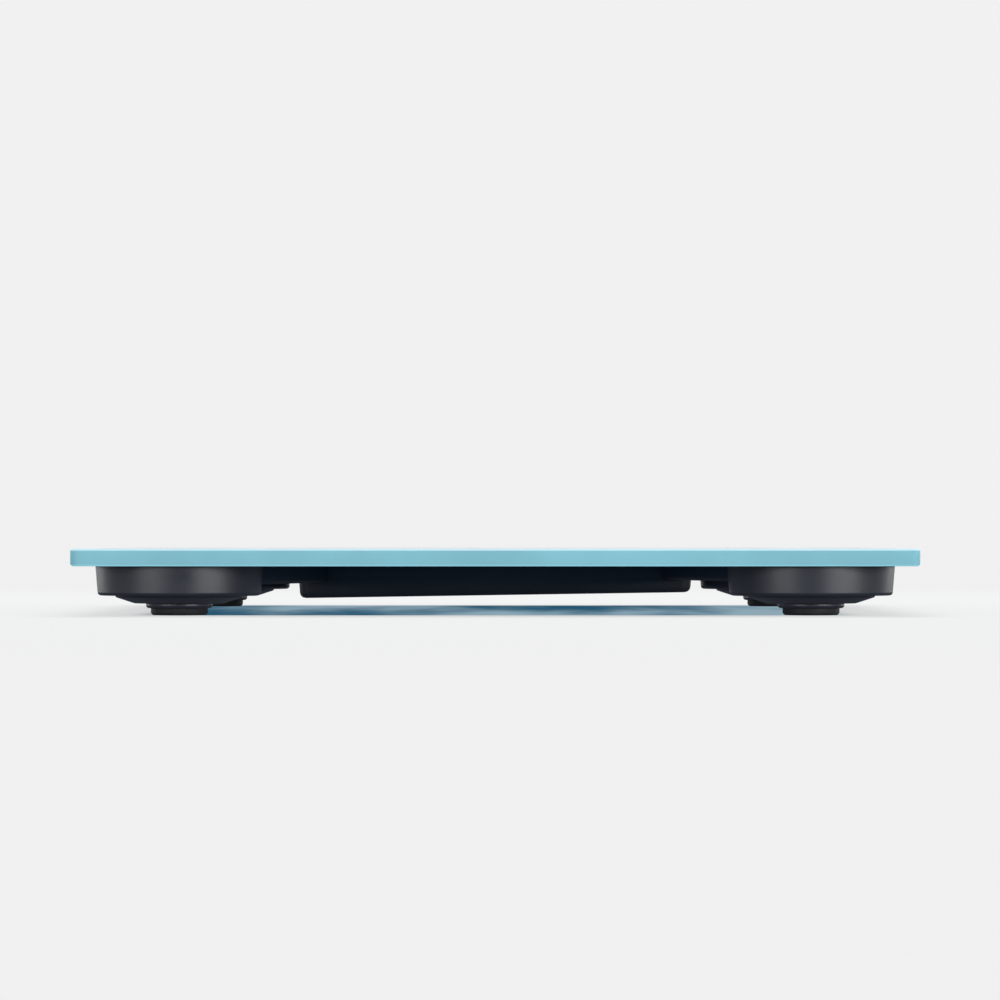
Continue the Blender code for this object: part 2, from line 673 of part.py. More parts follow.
def make_battery():
    """Coin cell, its two contacts and the door. The door's origin is on its hinge line."""
    door_top = box_bottom_z(COIN_X) + DOOR_THICKNESS
    coin_z = door_top + 2 * GAP
    coin_top = coin_z + COIN_THICKNESS
    coin = (
        (0, coin_z),
        (COIN_RADIUS, coin_z),
        (COIN_RADIUS, coin_top - COIN_STEP),
        (COIN_RADIUS - COIN_STEP, coin_top - COIN_SLOPE),
        (COIN_RADIUS - COIN_STEP, coin_top),
        (0, coin_top),
    )
    turned("coin_cell", coin, "steel", (COIN_X, COIN_Y))

    places = contact_places()
    half = STRIP_WIDTH / 2
    tail_x = BOARD_STEP_X + STRIP_WIDTH / 2
    tongue_x = COIN_X - COIN_RADIUS / 2
    bend_x = COIN_X + COIN_RADIUS / 3
    top = STRIP_Z + STRIP
    low = coin_top + GAP
    y = places["contact_negative"]
    negative = (
        (tongue_x, low),
        (bend_x, STRIP_Z),
        (tail_x, STRIP_Z),
        (tail_x, top),
        (bend_x, top),
        (tongue_x, low + STRIP),
    )
    strip("contact_negative", negative, y - half, y + half, "gold")
    y = places["contact_positive"]
    wall_x = COIN_X + WELL_HALF - GAP
    positive = (
        (wall_x - STRIP, coin_z),
        (wall_x, coin_z),
        (wall_x, STRIP_Z),
        (tail_x, STRIP_Z),
        (tail_x, top),
        (wall_x - STRIP, top),
    )
    strip("contact_positive", positive, y - half, y + half, "gold")

    hinge_x = COIN_X - DOOR_HALF
    hinge = (hinge_x, COIN_Y, box_bottom_z(hinge_x))
    size = (2 * DOOR_HALF, 2 * DOOR_HALF)
    outline = rounded_rectangle((COIN_X, COIN_Y), size, DOOR_LEDGE / 2, steps=2)
    door = [on_slope(outline, 0), on_slope(outline, DOOR_THICKNESS)]
    loft("battery_door", door, "black", origin=hinge)


def make_board():
    outline = [
        (BOARD_LEFT_X, BOARD_STEP_Y),
        (BOARD_STEP_X, BOARD_STEP_Y),
        (BOARD_STEP_X, BOARD_NEAR_Y),
        (BOARD_RIGHT_X, BOARD_NEAR_Y),
        (BOARD_RIGHT_X, BOARD_FAR_Y),
        (BOARD_LEFT_X, BOARD_FAR_Y),
    ]
    holes = [circle(place, SCREW_SHANK_RADIUS + GAP) for place in SCREWS.values()]
    plate("circuit_board", outline, holes, BOARD_Z, BOARD_TOP_Z, "board")

    seat_z = BOARD_TOP_Z + GAP
    chip_x = (BOARD_STEP_X + BOARD_RIGHT_X) / 2
    chip_y = (BOARD_NEAR_Y + BOARD_STEP_Y) / 2
    chip = rounded_rectangle((chip_x, chip_y), (CHIP_SIDE, CHIP_SIDE), CHIP_CORNER, steps=1)
    plate("processor", chip, [], seat_z, seat_z + CHIP_THICKNESS, "black")

    screw = (
        (0, seat_z - SCREW_LENGTH - BOARD_THICKNESS),
        (SCREW_SHANK_RADIUS, seat_z - SCREW_LENGTH - BOARD_THICKNESS + SCREW_SHANK_RADIUS),
        (SCREW_SHANK_RADIUS, seat_z),
        (SCREW_HEAD_RADIUS, seat_z),
        (SCREW_HEAD_RADIUS, seat_z + SCREW_HEAD_HEIGHT * SCREW_CROWN),
        (SCREW_HEAD_RADIUS * SCREW_CROWN, seat_z + SCREW_HEAD_HEIGHT),
        (0, seat_z + SCREW_HEAD_HEIGHT),
    )
    for place, centre in SCREWS.items():
        turned(f"board_screw_{place}", screw, "steel", centre, steps=SMALL_STEPS)

    for side, sign in (("left", -1), ("right", 1)):
        centre = (sign * KEY_X, PANEL_Y)
        low = seat_z + SPRING_WIRE
        rise = GLASS_UNDER_Z - GAP - SPRING_WIRE - low
        steps = 8 * SPRING_TURNS
        points = []
        for step in range(steps + 1):
            share = step / steps
            angle = 2 * math.pi * SPRING_TURNS * share
            radius = SPRING_FOOT_RADIUS + (SPRING_TOP_RADIUS - SPRING_FOOT_RADIUS) * share
            x = centre[0] + radius * math.cos(angle)
            y = centre[1] + radius * math.sin(angle)
            points.append((x, y, low + rise * share))
        tube(f"touch_spring_{side}", points, SPRING_WIRE, "steel")


def make_button():
    """The unit button in the box's floor, which slides up, and the switch above it on the board."""
    centre = (BUTTON_X, BUTTON_Y)
    face_z = box_bottom_z(BUTTON_X) + BUTTON_RECESS
    lip_z = box_bottom_z(BUTTON_X) + BUTTON_SEAT + GAP
    lip_radius = BUTTON_RADIUS + BUTTON_LIP
    switch_top = BOARD_Z - GAP
    switch_low = switch_top - SWITCH_THICKNESS - SWITCH_NUB
    button_top = switch_low - GAP - BUTTON_TRAVEL
    button = (
        (0, face_z),
        (BUTTON_RADIUS - GAP, face_z),
        (BUTTON_RADIUS, face_z + GAP),
        (BUTTON_RADIUS, lip_z),
        (lip_radius, lip_z),
        (lip_radius, lip_z + BUTTON_LIP_THICKNESS),
        (BUTTON_RADIUS / 2, lip_z + BUTTON_LIP_THICKNESS),
        (BUTTON_RADIUS / 2, button_top),
        (0, button_top),
    )
    turned("unit_button", button, "charcoal", centre, steps=SMALL_STEPS)

    side = SWITCH_SIDE
    body = rounded_rectangle(centre, (side, side), SWITCH_CORNER, steps=1)
    nub = circle(centre, SWITCH_NUB_RADIUS, steps=12)
    bm = bmesh.new()
    body_z = switch_top - SWITCH_THICKNESS
    add_plate(bm, body, [], body_z, switch_top)
    switch = add_object("unit_switch", bm, "steel", origin=(*centre, 0))
    nub_sections = [level(nub, switch_low), level(nub, body_z + SWITCH_THICKNESS / 2)]
    combine(switch, "UNION", {"switch_nub": nub_sections})


def make_display():
    """The display panel under the glass, in its frame on the board, with its backlight and connector."""
    centre = (0, PANEL_Y)
    size = (PANEL_LENGTH, PANEL_WIDTH)
    seat_z = BOARD_TOP_Z + GAP
    inner = (PANEL_ROOM_LENGTH, PANEL_ROOM_WIDTH)
    outer = (inner[0] + 2 * FRAME_WALL, inner[1] + 2 * FRAME_WALL)
    frame_hole = rectangle(
        centre[0] - inner[0] / 2,
        centre[1] - inner[1] / 2,
        centre[0] + inner[0] / 2,
        centre[1] + inner[1] / 2,
    )
    frame = rounded_rectangle(centre, outer, FRAME_WALL / 2, steps=2)
    plate("display_frame", frame, [frame_hole], seat_z, PANEL_TOP_Z, "white")

    half_x, half_y = size[0] / 2, size[1] / 2
    lower = rectangle(-half_x, PANEL_Y - half_y, half_x, PANEL_Y + half_y)
    upper = rectangle(-half_x, PANEL_Y - half_y + PANEL_STEP, half_x, PANEL_Y + half_y)
    middle_z = (PANEL_Z + PANEL_TOP_Z) / 2
    sections = [level(lower, PANEL_Z), level(lower, middle_z)]
    sections += [level(upper, middle_z), level(upper, PANEL_TOP_Z)]
    loft("display_panel", sections, "display")

    under_z = PANEL_Z - GAP
    connector_far = PANEL_Y - half_y + GAP + CONNECTOR_WIDTH
    connector = rectangle(-half_x + GAP, PANEL_Y - half_y + GAP, half_x - GAP, connector_far)
    plate("display_connector", connector, [], seat_z, under_z, "rubber")
    light = rectangle(-half_x + GAP, connector_far + GAP, half_x - GAP, PANEL_Y + half_y - GAP)
    plate("display_backlight", light, [], seat_z, under_z, "white")


def main():
    clear_scene()
    make_glass()
    for place in FEET:
        make_foot(place)
        make_cable(place)
    make_channel("wire_channel_left", "near_left", CHANNEL_DEPTH_LEFT)
    make_channel("wire_channel_right", "near_right", CHANNEL_DEPTH_RIGHT)
    make_channel("wire_bridge_left", "far_left", CHANNEL_DEPTH_RIGHT)
    make_channel("wire_bridge_right", "far_right", CHANNEL_DEPTH_RIGHT)
    make_box()
    make_battery()
    make_board()
    make_button()
    make_display()


main()
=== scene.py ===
"""Finished pieces of a square glass kitchen scale, built around its packed frame.

Metres, +Z up. The origin is on the table under the middle of the glass. -Y is the plain edge and
+Y the edge with the display. Every piece is made in its place, with its object at the origin.
"""

import math

import bmesh
import bpy
import numpy as np
from bpy.props import FloatProperty, FloatVectorProperty, IntProperty, PointerProperty
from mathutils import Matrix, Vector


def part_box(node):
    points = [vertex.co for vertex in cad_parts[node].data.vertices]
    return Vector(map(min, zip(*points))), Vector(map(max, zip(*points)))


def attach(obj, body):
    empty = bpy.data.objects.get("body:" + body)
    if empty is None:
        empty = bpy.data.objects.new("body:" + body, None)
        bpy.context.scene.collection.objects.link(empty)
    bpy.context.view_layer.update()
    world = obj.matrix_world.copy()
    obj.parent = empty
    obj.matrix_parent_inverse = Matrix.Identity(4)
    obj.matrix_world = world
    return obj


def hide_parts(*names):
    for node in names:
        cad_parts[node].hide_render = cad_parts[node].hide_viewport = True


bl_info = {
    "name": "Glass Kitchen Scale",
    "version": (1, 0, 0),
    "blender": (4, 5, 0),
    "location": "3D View > Sidebar > Scale",
    "description": "Finished pieces of a glass kitchen scale, and its studio",
    "category": "Object",
}

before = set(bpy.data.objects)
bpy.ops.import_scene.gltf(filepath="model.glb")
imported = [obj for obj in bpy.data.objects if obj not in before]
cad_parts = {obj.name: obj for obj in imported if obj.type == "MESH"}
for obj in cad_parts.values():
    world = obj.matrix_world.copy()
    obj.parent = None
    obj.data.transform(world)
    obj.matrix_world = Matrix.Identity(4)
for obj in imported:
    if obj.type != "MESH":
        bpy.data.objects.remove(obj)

BODY = "scale_body"
PLACES = ("near_left", "near_right", "far_left", "far_right")
MM = 0.001
SMOOTH_ANGLE = math.radians(32)
TURNED_SIDES = 128
SMALL_SIDES = 48
ENTRY_INSET = 4.9 * MM  # from the box's side to where a near foot's cable goes in
FACE_GAP = 0.01 * MM  # between the clear face and what lies above or below it
PANEL_DISTANCE = 1.3  # of the low light panels from the middle of the scale
PANEL_HEIGHT = 0.13
PANEL_DEPTH = 0.22


def low(node):
    """Lowest corner of a frame node, as an array."""
    return np.array(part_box(node)[0])


def high(node):
    """Highest corner of a frame node, as an array."""
    return np.array(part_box(node)[1])


def middle(node):
    """Middle of a frame node's box."""
    return (low(node) + high(node)) / 2


def radius_of(node):
    """Half of the width of a round frame node."""
    return (high(node) - low(node))[0] / 2


GLASS_LOW, GLASS_HIGH = low("glass_platform"), high("glass_platform")
PANEL_LOW, PANEL_HIGH = low("display_panel"), high("display_panel")
BOX_LOW, BOX_HIGH = low("electronics_housing"), high("electronics_housing")
DOOR_LOW, DOOR_HIGH = low("battery_door"), high("battery_door")
COIN_LOW, COIN_HIGH = low("coin_cell"), high("coin_cell")


# Surfaces


def softened(points, radius, steps=4, closed=False):
    """Rounds the corners of a line of points.

    Each corner C becomes the curve (1-t)^2 A + 2t(1-t) C + t^2 B, where A and B lie the radius
    away from C towards its neighbours, or just under half of the way if they are close.
    """
    points = np.asarray(points, float)
    before = np.roll(points, 1, axis=0) - points
    after = np.roll(points, -1, axis=0) - points
    reach_before = np.linalg.norm(before, axis=1, keepdims=True)
    reach_after = np.linalg.norm(after, axis=1, keepdims=True)
    cut = np.minimum(radius, 0.48 * np.minimum(reach_before, reach_after))
    if not closed:
        cut[0] = cut[-1] = 0
    start = points + before / reach_before * cut
    end = points + after / reach_after * cut
    t = np.linspace(0, 1, steps + 1)[None, :, None]
    curve = (1 - t) ** 2 * start[:, None] + 2 * t * (1 - t) * points[:, None] + t**2 * end[:, None]
    if closed:
        return curve.reshape(-1, points.shape[1])
    middle_part = curve[1:-1].reshape(-1, points.shape[1])
    return np.concatenate([points[:1], middle_part, points[-1:]])


def circle(centre, radius, sides=TURNED_SIDES):
    """Points (cx + r cos a, cy + r sin a) for angles a once round."""
    angle = np.arange(sides) * 2 * math.pi / sides
    return np.stack([centre[0] + radius * np.cos(angle), centre[1] + radius * np.sin(angle)], 1)


def rounded_rectangle(centre, size, corner, steps=8):
    """Quarter circles of the corner radius about the four corner centres, counter-clockwise."""
    quarter = np.repeat(np.arange(4), steps + 1)
    angle = math.pi / 2 * (quarter + np.tile(np.linspace(0, 1, steps + 1), 4))
    sign_x = np.array([1, -1, -1, 1])[quarter]
    sign_y = np.array([1, 1, -1, -1])[quarter]
    x = centre[0] + sign_x * (size[0] / 2 - corner) + corner * np.cos(angle)
    y = centre[1] + sign_y * (size[1] / 2 - corner) + corner * np.sin(angle)
    return np.stack([x, y], 1)


def at_height(outline, z):
    """A flat outline lifted to a height, which may differ at each point."""
    return np.column_stack([outline, np.broadcast_to(z, len(outline))])


def new_mesh(name, points, *face_sets):
    """A mesh from arrays of points and of faces, turned outwards by the sign of its volume."""
    flat = [f[:, [0, k, k + 1]] for f in face_sets for k in range(1, f.shape[1] - 1)]
    corners = points[np.concatenate(flat)]
    volume = np.einsum("ij,ij->", corners[:, 0], np.cross(corners[:, 1], corners[:, 2]))
    if volume < 0:
        face_sets = [faces[:, ::-1] for faces in face_sets]
    loops = np.concatenate([faces.ravel() for faces in face_sets])
    sizes = np.concatenate([np.full(len(faces), faces.shape[1]) for faces in face_sets])
    mesh = bpy.data.meshes.new(name)
    mesh.vertices.add(len(points))
    mesh.vertices.foreach_set("co", points.astype(np.float32).ravel())
    mesh.loops.add(len(loops))
    mesh.loops.foreach_set("vertex_index", loops.astype(np.int32))
    mesh.polygons.add(len(sizes))
    mesh.polygons.foreach_set("loop_start", (np.cumsum(sizes) - sizes).astype(np.int32))
    mesh.update(calc_edges=True)
    return mesh


def skinned(name, rows, ring=False):
    """Quads between neighbouring rows, each a closed loop of points.

    With ring the last row joins the first. Otherwise a fan about each end row's middle closes it.
    """
    grid = np.stack(rows)
    count, columns = grid.shape[:2]
    index = np.arange(count * columns).reshape(count, columns)
    below, above = (index, np.roll(index, -1, axis=0)) if ring else (index[:-1], index[1:])
    sides = [below, np.roll(below, -1, axis=1), np.roll(above, -1, axis=1), above]
    quads = np.stack(sides, -1).reshape(-1, 4)
    points = grid.reshape(-1, 3)
    if ring:
        return new_mesh(name, points, quads)
    first = np.full(columns, len(points))
    fan_low = np.stack([first, np.roll(index[0], -1), index[0]], 1)
    fan_high = np.stack([first + 1, index[-1], np.roll(index[-1], -1)], 1)
    points = np.concatenate([points, [grid[0].mean(0), grid[-1].mean(0)]])
    return new_mesh(name, points, quads, np.concatenate([fan_low, fan_high]))


def filled(row, count):
    """Rows that shrink a flat loop towards its middle by even steps, the smallest first."""
    share = (np.arange(count) + 0.5) / count
    centre = row.mean(0)
    return centre + share[:, None, None] * (row - centre)


def turned(name, profile, centre, sides=TURNED_SIDES, fill=(0, 0), carve=None, ring=False):
    """A profile of (radius, height) points carried round a vertical axis.

    fill adds rows across the flat first and last ends. There carve, a function of x and y
    measured from the axis, is added to the height. With ring the profile is a closed loop.
    """
    unit = circle((0, 0), 1, sides)
    grid = np.stack([at_height(radius * unit, z) for radius, z in profile])
    ends = []
    for row, count in ((grid[0], fill[0]), (grid[-1], fill[1])):
        rows = filled(row, count)
        if count:
            rows[..., 2] += carve(rows[..., 0], rows[..., 1])
        ends.append(rows)
    grid = np.concatenate([ends[0], grid, ends[1][::-1]])
    return skinned(name, grid + (*centre[:2], 0), ring)


def level(height):
    """A face at one height, for a slab."""
    return lambda x, y: np.full_like(x, height)


def box_section(inner, outer, z0, z1):
    """The four corners of an upright rectangle, for a ring or a frame."""
    return [(inner, z0), (outer, z0), (outer, z1), (inner, z1)]


def pressed_cross(depth, reach, half_width, inner, outer):
    """A cross pressed into a face, as a function of x and y.

    A point's distance d is 1 along the outline of the nearer arm. The depth grows evenly from
    none at d = outer to all of it at d = inner.
    """

    def carve(x, y):
        x, y = np.abs(x), np.abs(y)
        level_arm = np.maximum(x / reach, y / half_width)
        upright_arm = np.maximum(y / reach, x / half_width)
        share = (outer - np.minimum(level_arm, upright_arm)) / (outer - inner)
        return depth * np.clip(share, 0, 1)

    return carve


def slab(name, outline, under, over, edge, rows=2):
    """A plate with round edges between two heights, each a function of x and y.

    A row is the outline shrunk about its middle by a share. Over the edge radius e the share's
    inset is e (1 - sin a) and the rise is e (1 - cos a), for a quarter turn of a.
    """
    centre = (outline.min(0) + outline.max(0)) / 2
    reach = (outline.max(0) - outline.min(0)).min() / 2
    arc = np.linspace(0, math.pi / 2, 5)
    inner = np.linspace(0.1 / rows, 1 - 1.3 * edge / reach, rows)
    share = np.concatenate([inner, 1 - edge * (1 - np.sin(arc)) / reach])
    rise = np.concatenate([np.zeros(rows), edge * (1 - np.cos(arc))])
    flat = centre + share[:, None, None] * (outline - centre)
    bottom = under(flat[..., 0], flat[..., 1]) + rise[:, None]
    top = over(flat[..., 0], flat[..., 1]) - rise[:, None]
    lower = np.concatenate([flat, bottom[..., None]], axis=2)
    upper = np.concatenate([flat, top[..., None]], axis=2)
    return skinned(name, np.concatenate([lower, upper[::-1]]))


def framed(name, section, centre, size, corner):
    """A section of (inset, height) points carried round a rounded rectangle."""
    rows = []
    for inset, z in section:
        shrunk = (size[0] - 2 * inset, size[1] - 2 * inset)
        outline = rounded_rectangle(centre, shrunk, max(corner - inset, 0.1 * MM))
        rows.append(at_height(outline, z))
    return skinned(name, rows, ring=True)


def tube(name, path, radius, sides=16):
    """A circle carried along a path: each row is P + r (N cos a + B sin a).

    N is level and square to the path, and B is square to both.
    """
    path = np.asarray(path, float)
    along = np.gradient(path, axis=0)
    along /= np.linalg.norm(along, axis=1, keepdims=True)
    side = np.cross(along, (0, 0, 1))
    side /= np.linalg.norm(side, axis=1, keepdims=True)
    lift = np.cross(side, along)
    ring = circle((0, 0), radius, sides)
    rows = path[:, None] + ring[None, :, :1] * side[:, None] + ring[None, :, 1:] * lift[:, None]
    return skinned(name, rows)


def prisms(name, outlines, z0, z1):
    """Flat closed outlines, all with as many points, each raised from one height to another."""
    outlines = np.asarray(outlines, float)
    count, corners = outlines.shape[:2]
    lower = np.concatenate([outlines, np.full((count, corners, 1), z0)], axis=2)
    upper = np.concatenate([outlines, np.full((count, corners, 1), z1)], axis=2)
    points = np.concatenate([lower, upper], axis=1).reshape(-1, 3)
    start = np.arange(count)[:, None] * 2 * corners
    turn = np.arange(corners)
    after = np.roll(turn, -1)
    bottoms = start + turn[::-1]
    tops = start + corners + turn
    sides = np.stack([turn, after, after + corners, turn + corners], 1)
    sides = (start[:, :, None] + sides[None]).reshape(-1, 4)
    return new_mesh(name, points, sides, bottoms, tops)


def rounded_copy(name, node, width):
    """A merged copy of a frame node's mesh, its flat faces joined and its sharp edges rounded."""
    bm = bmesh.new()
    bm.from_mesh(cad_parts[node].data)
    bmesh.ops.remove_doubles(bm, verts=bm.verts, dist=0.002 * MM)
    bmesh.ops.dissolve_limit(bm, angle_limit=math.radians(1), verts=bm.verts, edges=bm.edges)
    joined = [edge for edge in bm.edges if len(edge.link_faces) == 2]
    sharp = [edge for edge in joined if edge.calc_face_angle() > math.radians(40)]
    if width:
        shape = {"offset": width, "segments": 2, "profile": 0.5, "clamp_overlap": True}
        bmesh.ops.bevel(bm, geom=sharp, affect="EDGES", **shape)
    bmesh.ops.triangulate(bm, faces=[face for face in bm.faces if len(face.verts) > 4])
    mesh = bpy.data.meshes.new(name)
    bm.to_mesh(mesh)
    bm.free()
    return mesh


def add_piece(mesh, finish, body=BODY, replaces=()):
    """Links a finished mesh as a piece that rides on a body."""
    mesh.shade_smooth()
    mesh.set_sharp_from_angle(angle=SMOOTH_ANGLE)
    mesh.materials.clear()
    mesh.materials.append(material(finish))
    piece = bpy.data.objects.new(mesh.name, mesh)
    bpy.context.scene.collection.objects.link(piece)
    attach(piece, body)
    if replaces:
        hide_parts(*replaces)
    return piece


def add_rounded(name, node, finish, width):
    """A piece with a frame node's own shape and rounded edges, in that node's place."""
    return add_piece(rounded_copy(name, node, width), finish, replaces=[node])


def cut_away(mesh, cutter):
    """Takes one closed mesh out of another."""
    target = bpy.data.objects.new("target", mesh)
    tool = bpy.data.objects.new("cutter", cutter)
    for item in (target, tool):
        bpy.context.scene.collection.objects.link(item)
    modifier = target.modifiers.new("cut", "BOOLEAN")
    modifier.operation = "DIFFERENCE"
    modifier.object = tool
    graph = bpy.context.evaluated_depsgraph_get()
    made = bpy.data.meshes.new_from_object(target.evaluated_get(graph))
    made.name = mesh.name
    for item in (target, tool):
        bpy.data.objects.remove(item)
    bpy.data.meshes.remove(mesh)
    bpy.data.meshes.remove(cutter)
    return made


# Finishes


def arithmetic(operation, swapped=False):
    """A method that adds a Math node for a Value and a number or another Value."""

    def method(self, other):
        pair = (other, self) if swapped else (self, other)
        return self.maker.node("Math", {"operation": operation}, dict(enumerate(pair)))

    return method


class Value:
    """A shader socket. Arithmetic on it adds Math nodes to its tree."""

    def __init__(self, maker, socket):
        self.maker = maker
        self.socket = socket

    __add__ = __radd__ = arithmetic("ADD")
    __sub__ = arithmetic("SUBTRACT")
    __rsub__ = arithmetic("SUBTRACT", swapped=True)
    __mul__ = __rmul__ = arithmetic("MULTIPLY")
    __truediv__ = arithmetic("DIVIDE")
    __pow__ = arithmetic("POWER")
    __mod__ = arithmetic("FLOORED_MODULO")
    __lt__ = arithmetic("LESS_THAN")

    def __abs__(self):
        return self.maker.node("Math", {"operation": "ABSOLUTE"}, {0: self})


class Nodes:
    """A node tree in the making."""

    def __init__(self, tree):
        self.tree = tree

    def node(self, kind, settings=None, inputs=None, output=0):
        """Adds a node: its settings, then the values or links of its inputs. Gives an output."""
        made = self.tree.nodes.new("ShaderNode" + kind)
        for key, value in (settings or {}).items():
            setattr(made, key, value)
        for key, value in (inputs or {}).items():
            self.join(made.inputs[key], value)
        return Value(self, made.outputs[output])

    def join(self, socket, value):
        if isinstance(value, Value):
            self.tree.links.new(value.socket, socket)
        elif socket.type == "RGBA" and len(value) == 3:
            socket.default_value = (*value, 1)
        else:
            socket.default_value = value

    def parts(self, vector):
        """The three numbers of a vector."""
        return [self.node("SeparateXYZ", None, {0: vector}, axis) for axis in range(3)]

    def larger(self, first, second):
        return self.node("Math", {"operation": "MAXIMUM"}, {0: first, 1: second})

    def ramp(self, value, start, end):
        """0 below start, 1 above end, and smooth between them."""
        inputs = {0: value, 1: start, 2: end, 3: 0, 4: 1}
        return self.node("MapRange", {"interpolation_type": "SMOOTHSTEP"}, inputs)

    def mix(self, share, first, second):
        """A colour between two."""
        return self.node("Mix", {"data_type": "RGBA"}, {0: share, 6: first, 7: second}, 2)


class Finish(Nodes):
    """A material in the making, with one Principled shader at its end."""

    def __init__(self, name):
        self.material = bpy.data.materials.new(name)
        self.material.use_nodes = True
        super().__init__(self.material.node_tree)
        self.shader = self.tree.nodes["Principled BSDF"]

    def set(self, **inputs):
        """Values or links of the Principled shader's inputs, named with _ for a space."""
        for key, value in inputs.items():
            self.join(self.shader.inputs[key.replace("_", " ")], value)

    def place(self, centre=(0, 0, 0)):
        """Object coordinates measured from a centre."""
        here = self.node("TexCoord", output="Object")
        if any(centre):
            return self.node("VectorMath", {"operation": "SUBTRACT"}, {0: here, 1: centre})
        return here

    def noise(self, grain, detail=2, stretch=(1, 1, 1)):
        """Smooth noise from 0 to 1. grain is the size of a feature in millimetres."""
        scaled = {0: self.place(), 1: tuple(s / (grain * MM) for s in stretch)}
        vector = self.node("VectorMath", {"operation": "MULTIPLY"}, scaled)
        return self.node("TexNoise", None, {"Vector": vector, "Scale": 1, "Detail": detail})

    def cells(self, grain, output="Distance"):
        """A cell pattern. grain is the size of a cell in millimetres."""
        inputs = {"Vector": self.place(), "Scale": 1 / (grain * MM)}
        return self.node("TexVoronoi", None, inputs, output)

    def bump(self, height, depth):
        """Relief of a depth in millimetres."""
        inputs = {"Height": height, "Distance": depth * MM, "Strength": 1}
        self.set(Normal=self.node("Bump", None, inputs))

    def glaze(self, share, over):
        """Mixes another shader over the Principled one."""
        output = self.tree.nodes["Material Output"]
        principled = Value(self, self.shader.outputs[0])
        mixed = self.node("MixShader", None, {0: share, 1: principled, 2: over})
        self.join(output.inputs["Surface"], mixed)


def shade(colour, amount):
    """A colour with every part multiplied."""
    return tuple(min(part * amount, 1) for part in colour[:3])


def grained(made, marks, dark, light, roughness, rise, relief=0.0):
    """Colour, roughness and relief in millimetres that all follow one pattern of marks."""
    made.set(Base_Color=made.mix(marks, dark, light), Roughness=roughness + rise * marks)
    if relief:
        made.bump(marks, relief)


def ground_glass(made):
    """Ground glass edge: fine marks run level along it, with cloudier patches.

    Faces that turn up are polished, and painted paler as a painted highlight. Faces that turn down
    give off a painted glow for light carried inside the glass, and its inner side takes the colour
    of the paint.
    """
    sizes = bpy.context.scene.scale_glass
    colour = sizes.edge_colour
    marks = made.noise(0.35, 2, (0.012, 0.012, 1))
    cloud = made.ramp(made.noise(22, 3), 0.3, 0.75)
    tint = made.mix(cloud, shade(colour, 0.93), shade(colour, 1.05))
    paler = made.mix(0.5, tint, (0.62, 0.82, 0.88))
    x, y, _ = made.parts(made.place())
    across, along, up = made.parts(made.node("NewGeometry", output="Normal"))
    ground = made.mix(made.ramp(marks, 0.62, 0.85) * 0.3, tint, paler)
    # Painted highlight: faces that turn up are painted paler for the light they catch from above.
    ground = made.mix(made.ramp(up, 0.3, 0.8) * 0.9, ground, (0.66, 0.84, 0.90))
    inward = made.ramp(0 - (x * across + y * along) / float(GLASS_HIGH[0]), 0.3, 0.6)
    made.set(Base_Color=made.mix(inward * 0.7, ground, tuple(sizes.print_colour)))
    # Painted light: faces that turn down glow in the edge colour for light carried inside the
    # glass.
    painted_inner_glow = made.ramp(0 - up, 0.3, 0.8) * 0.55
    made.set(Emission_Color=made.mix(painted_inner_glow, (0, 0, 0), colour), Emission_Strength=1.0)
    made.set(Roughness=0.5 + 0.16 * marks, Specular_IOR_Level=0.05)
    made.bump(marks * 0.6 + made.noise(0.12, 1) * 0.4, 0.012)


def clear_glass(made):
    """Polished clear face: only its gloss and a few smears of the cloth that wiped it show."""
    haze = made.ramp(made.noise(28, 4, (1, 0.35, 1)), 0.45, 0.8)
    made.set(Base_Color=(0.96, 0.985, 1.0), Metallic=1.0, Roughness=0.025 + 0.05 * haze)
    clear = made.node("BsdfTransparent", None, {"Color": (0.95, 0.985, 0.99, 1)})
    facing = made.node("LayerWeight", None, {"Blend": 0.5}, "Facing")
    gloss = 0.035 + 0.965 * facing**5
    made.glaze(1 - gloss - 0.01 * haze, clear)


def back_print(made):
    """Blue paint on the back of the glass: fine flakes, a soft cloud and a paler border."""
    colour = bpy.context.scene.scale_glass.print_colour
    x, y, _ = made.parts(made.place())
    side = float(GLASS_HIGH[0])
    border = made.ramp(made.larger(abs(x), abs(y)), side * 0.55, side)
    flake = made.parts(made.cells(0.22, "Color"))[0]
    share = border * 0.5 + made.noise(60, 3) * 0.25
    deep = made.mix(share, shade(colour, 0.86), shade(colour, 1.16))
    bright = made.mix(0.35, deep, (0.55, 0.82, 0.9))
    made.set(Base_Color=made.mix(made.ramp(flake, 0.9, 1.0) * 0.5, deep, bright))
    made.set(Roughness=0.34 + 0.1 * flake, Metallic=0.15 * made.ramp(flake, 0.8, 1.0))
    made.bump(flake, 0.004)


def silver_ink(made):
    """Screen-printed silver, slightly grainy."""
    made.set(Metallic=0.75)
    grained(made, made.noise(0.15, 3), (0.66, 0.7, 0.72), (0.82, 0.85, 0.86), 0.32, 0.2, 0.006)


def moulded(made, colour, grain, relief, roughness, gloss):
    """Spark-textured moulding: rounded grains, slight flow marks and a few rubbed places."""
    pits = made.noise(grain, 3)
    flow = made.noise(9, 3, (1, 1, 2.5))
    rubbed = made.ramp(made.noise(16, 4), 0.62, 0.8)
    plain = made.mix(flow, shade(colour, 0.9), shade(colour, 1.12))
    made.set(Base_Color=made.mix(rubbed * 0.25, plain, shade(colour, 1.7)))
    made.set(Roughness=roughness + 0.12 * pits - 0.1 * rubbed, Specular_IOR_Level=gloss)
    made.bump(pits + made.cells(grain * 2.2) * 0.5, relief)


def charcoal_plastic(made):
    """Satin charcoal shell of the feet."""
    moulded(made, bpy.context.scene.scale_feet.shell_colour, 0.16, 0.010, 0.30, 1.0)
    made.set(Coat_Weight=0.35, Coat_Roughness=0.25)


def black_plastic(made):
    """Finely grained black of the box and the wire covers."""
    moulded(made, bpy.context.scene.scale_box.box_colour, 0.24, 0.016, 0.46, 0.5)


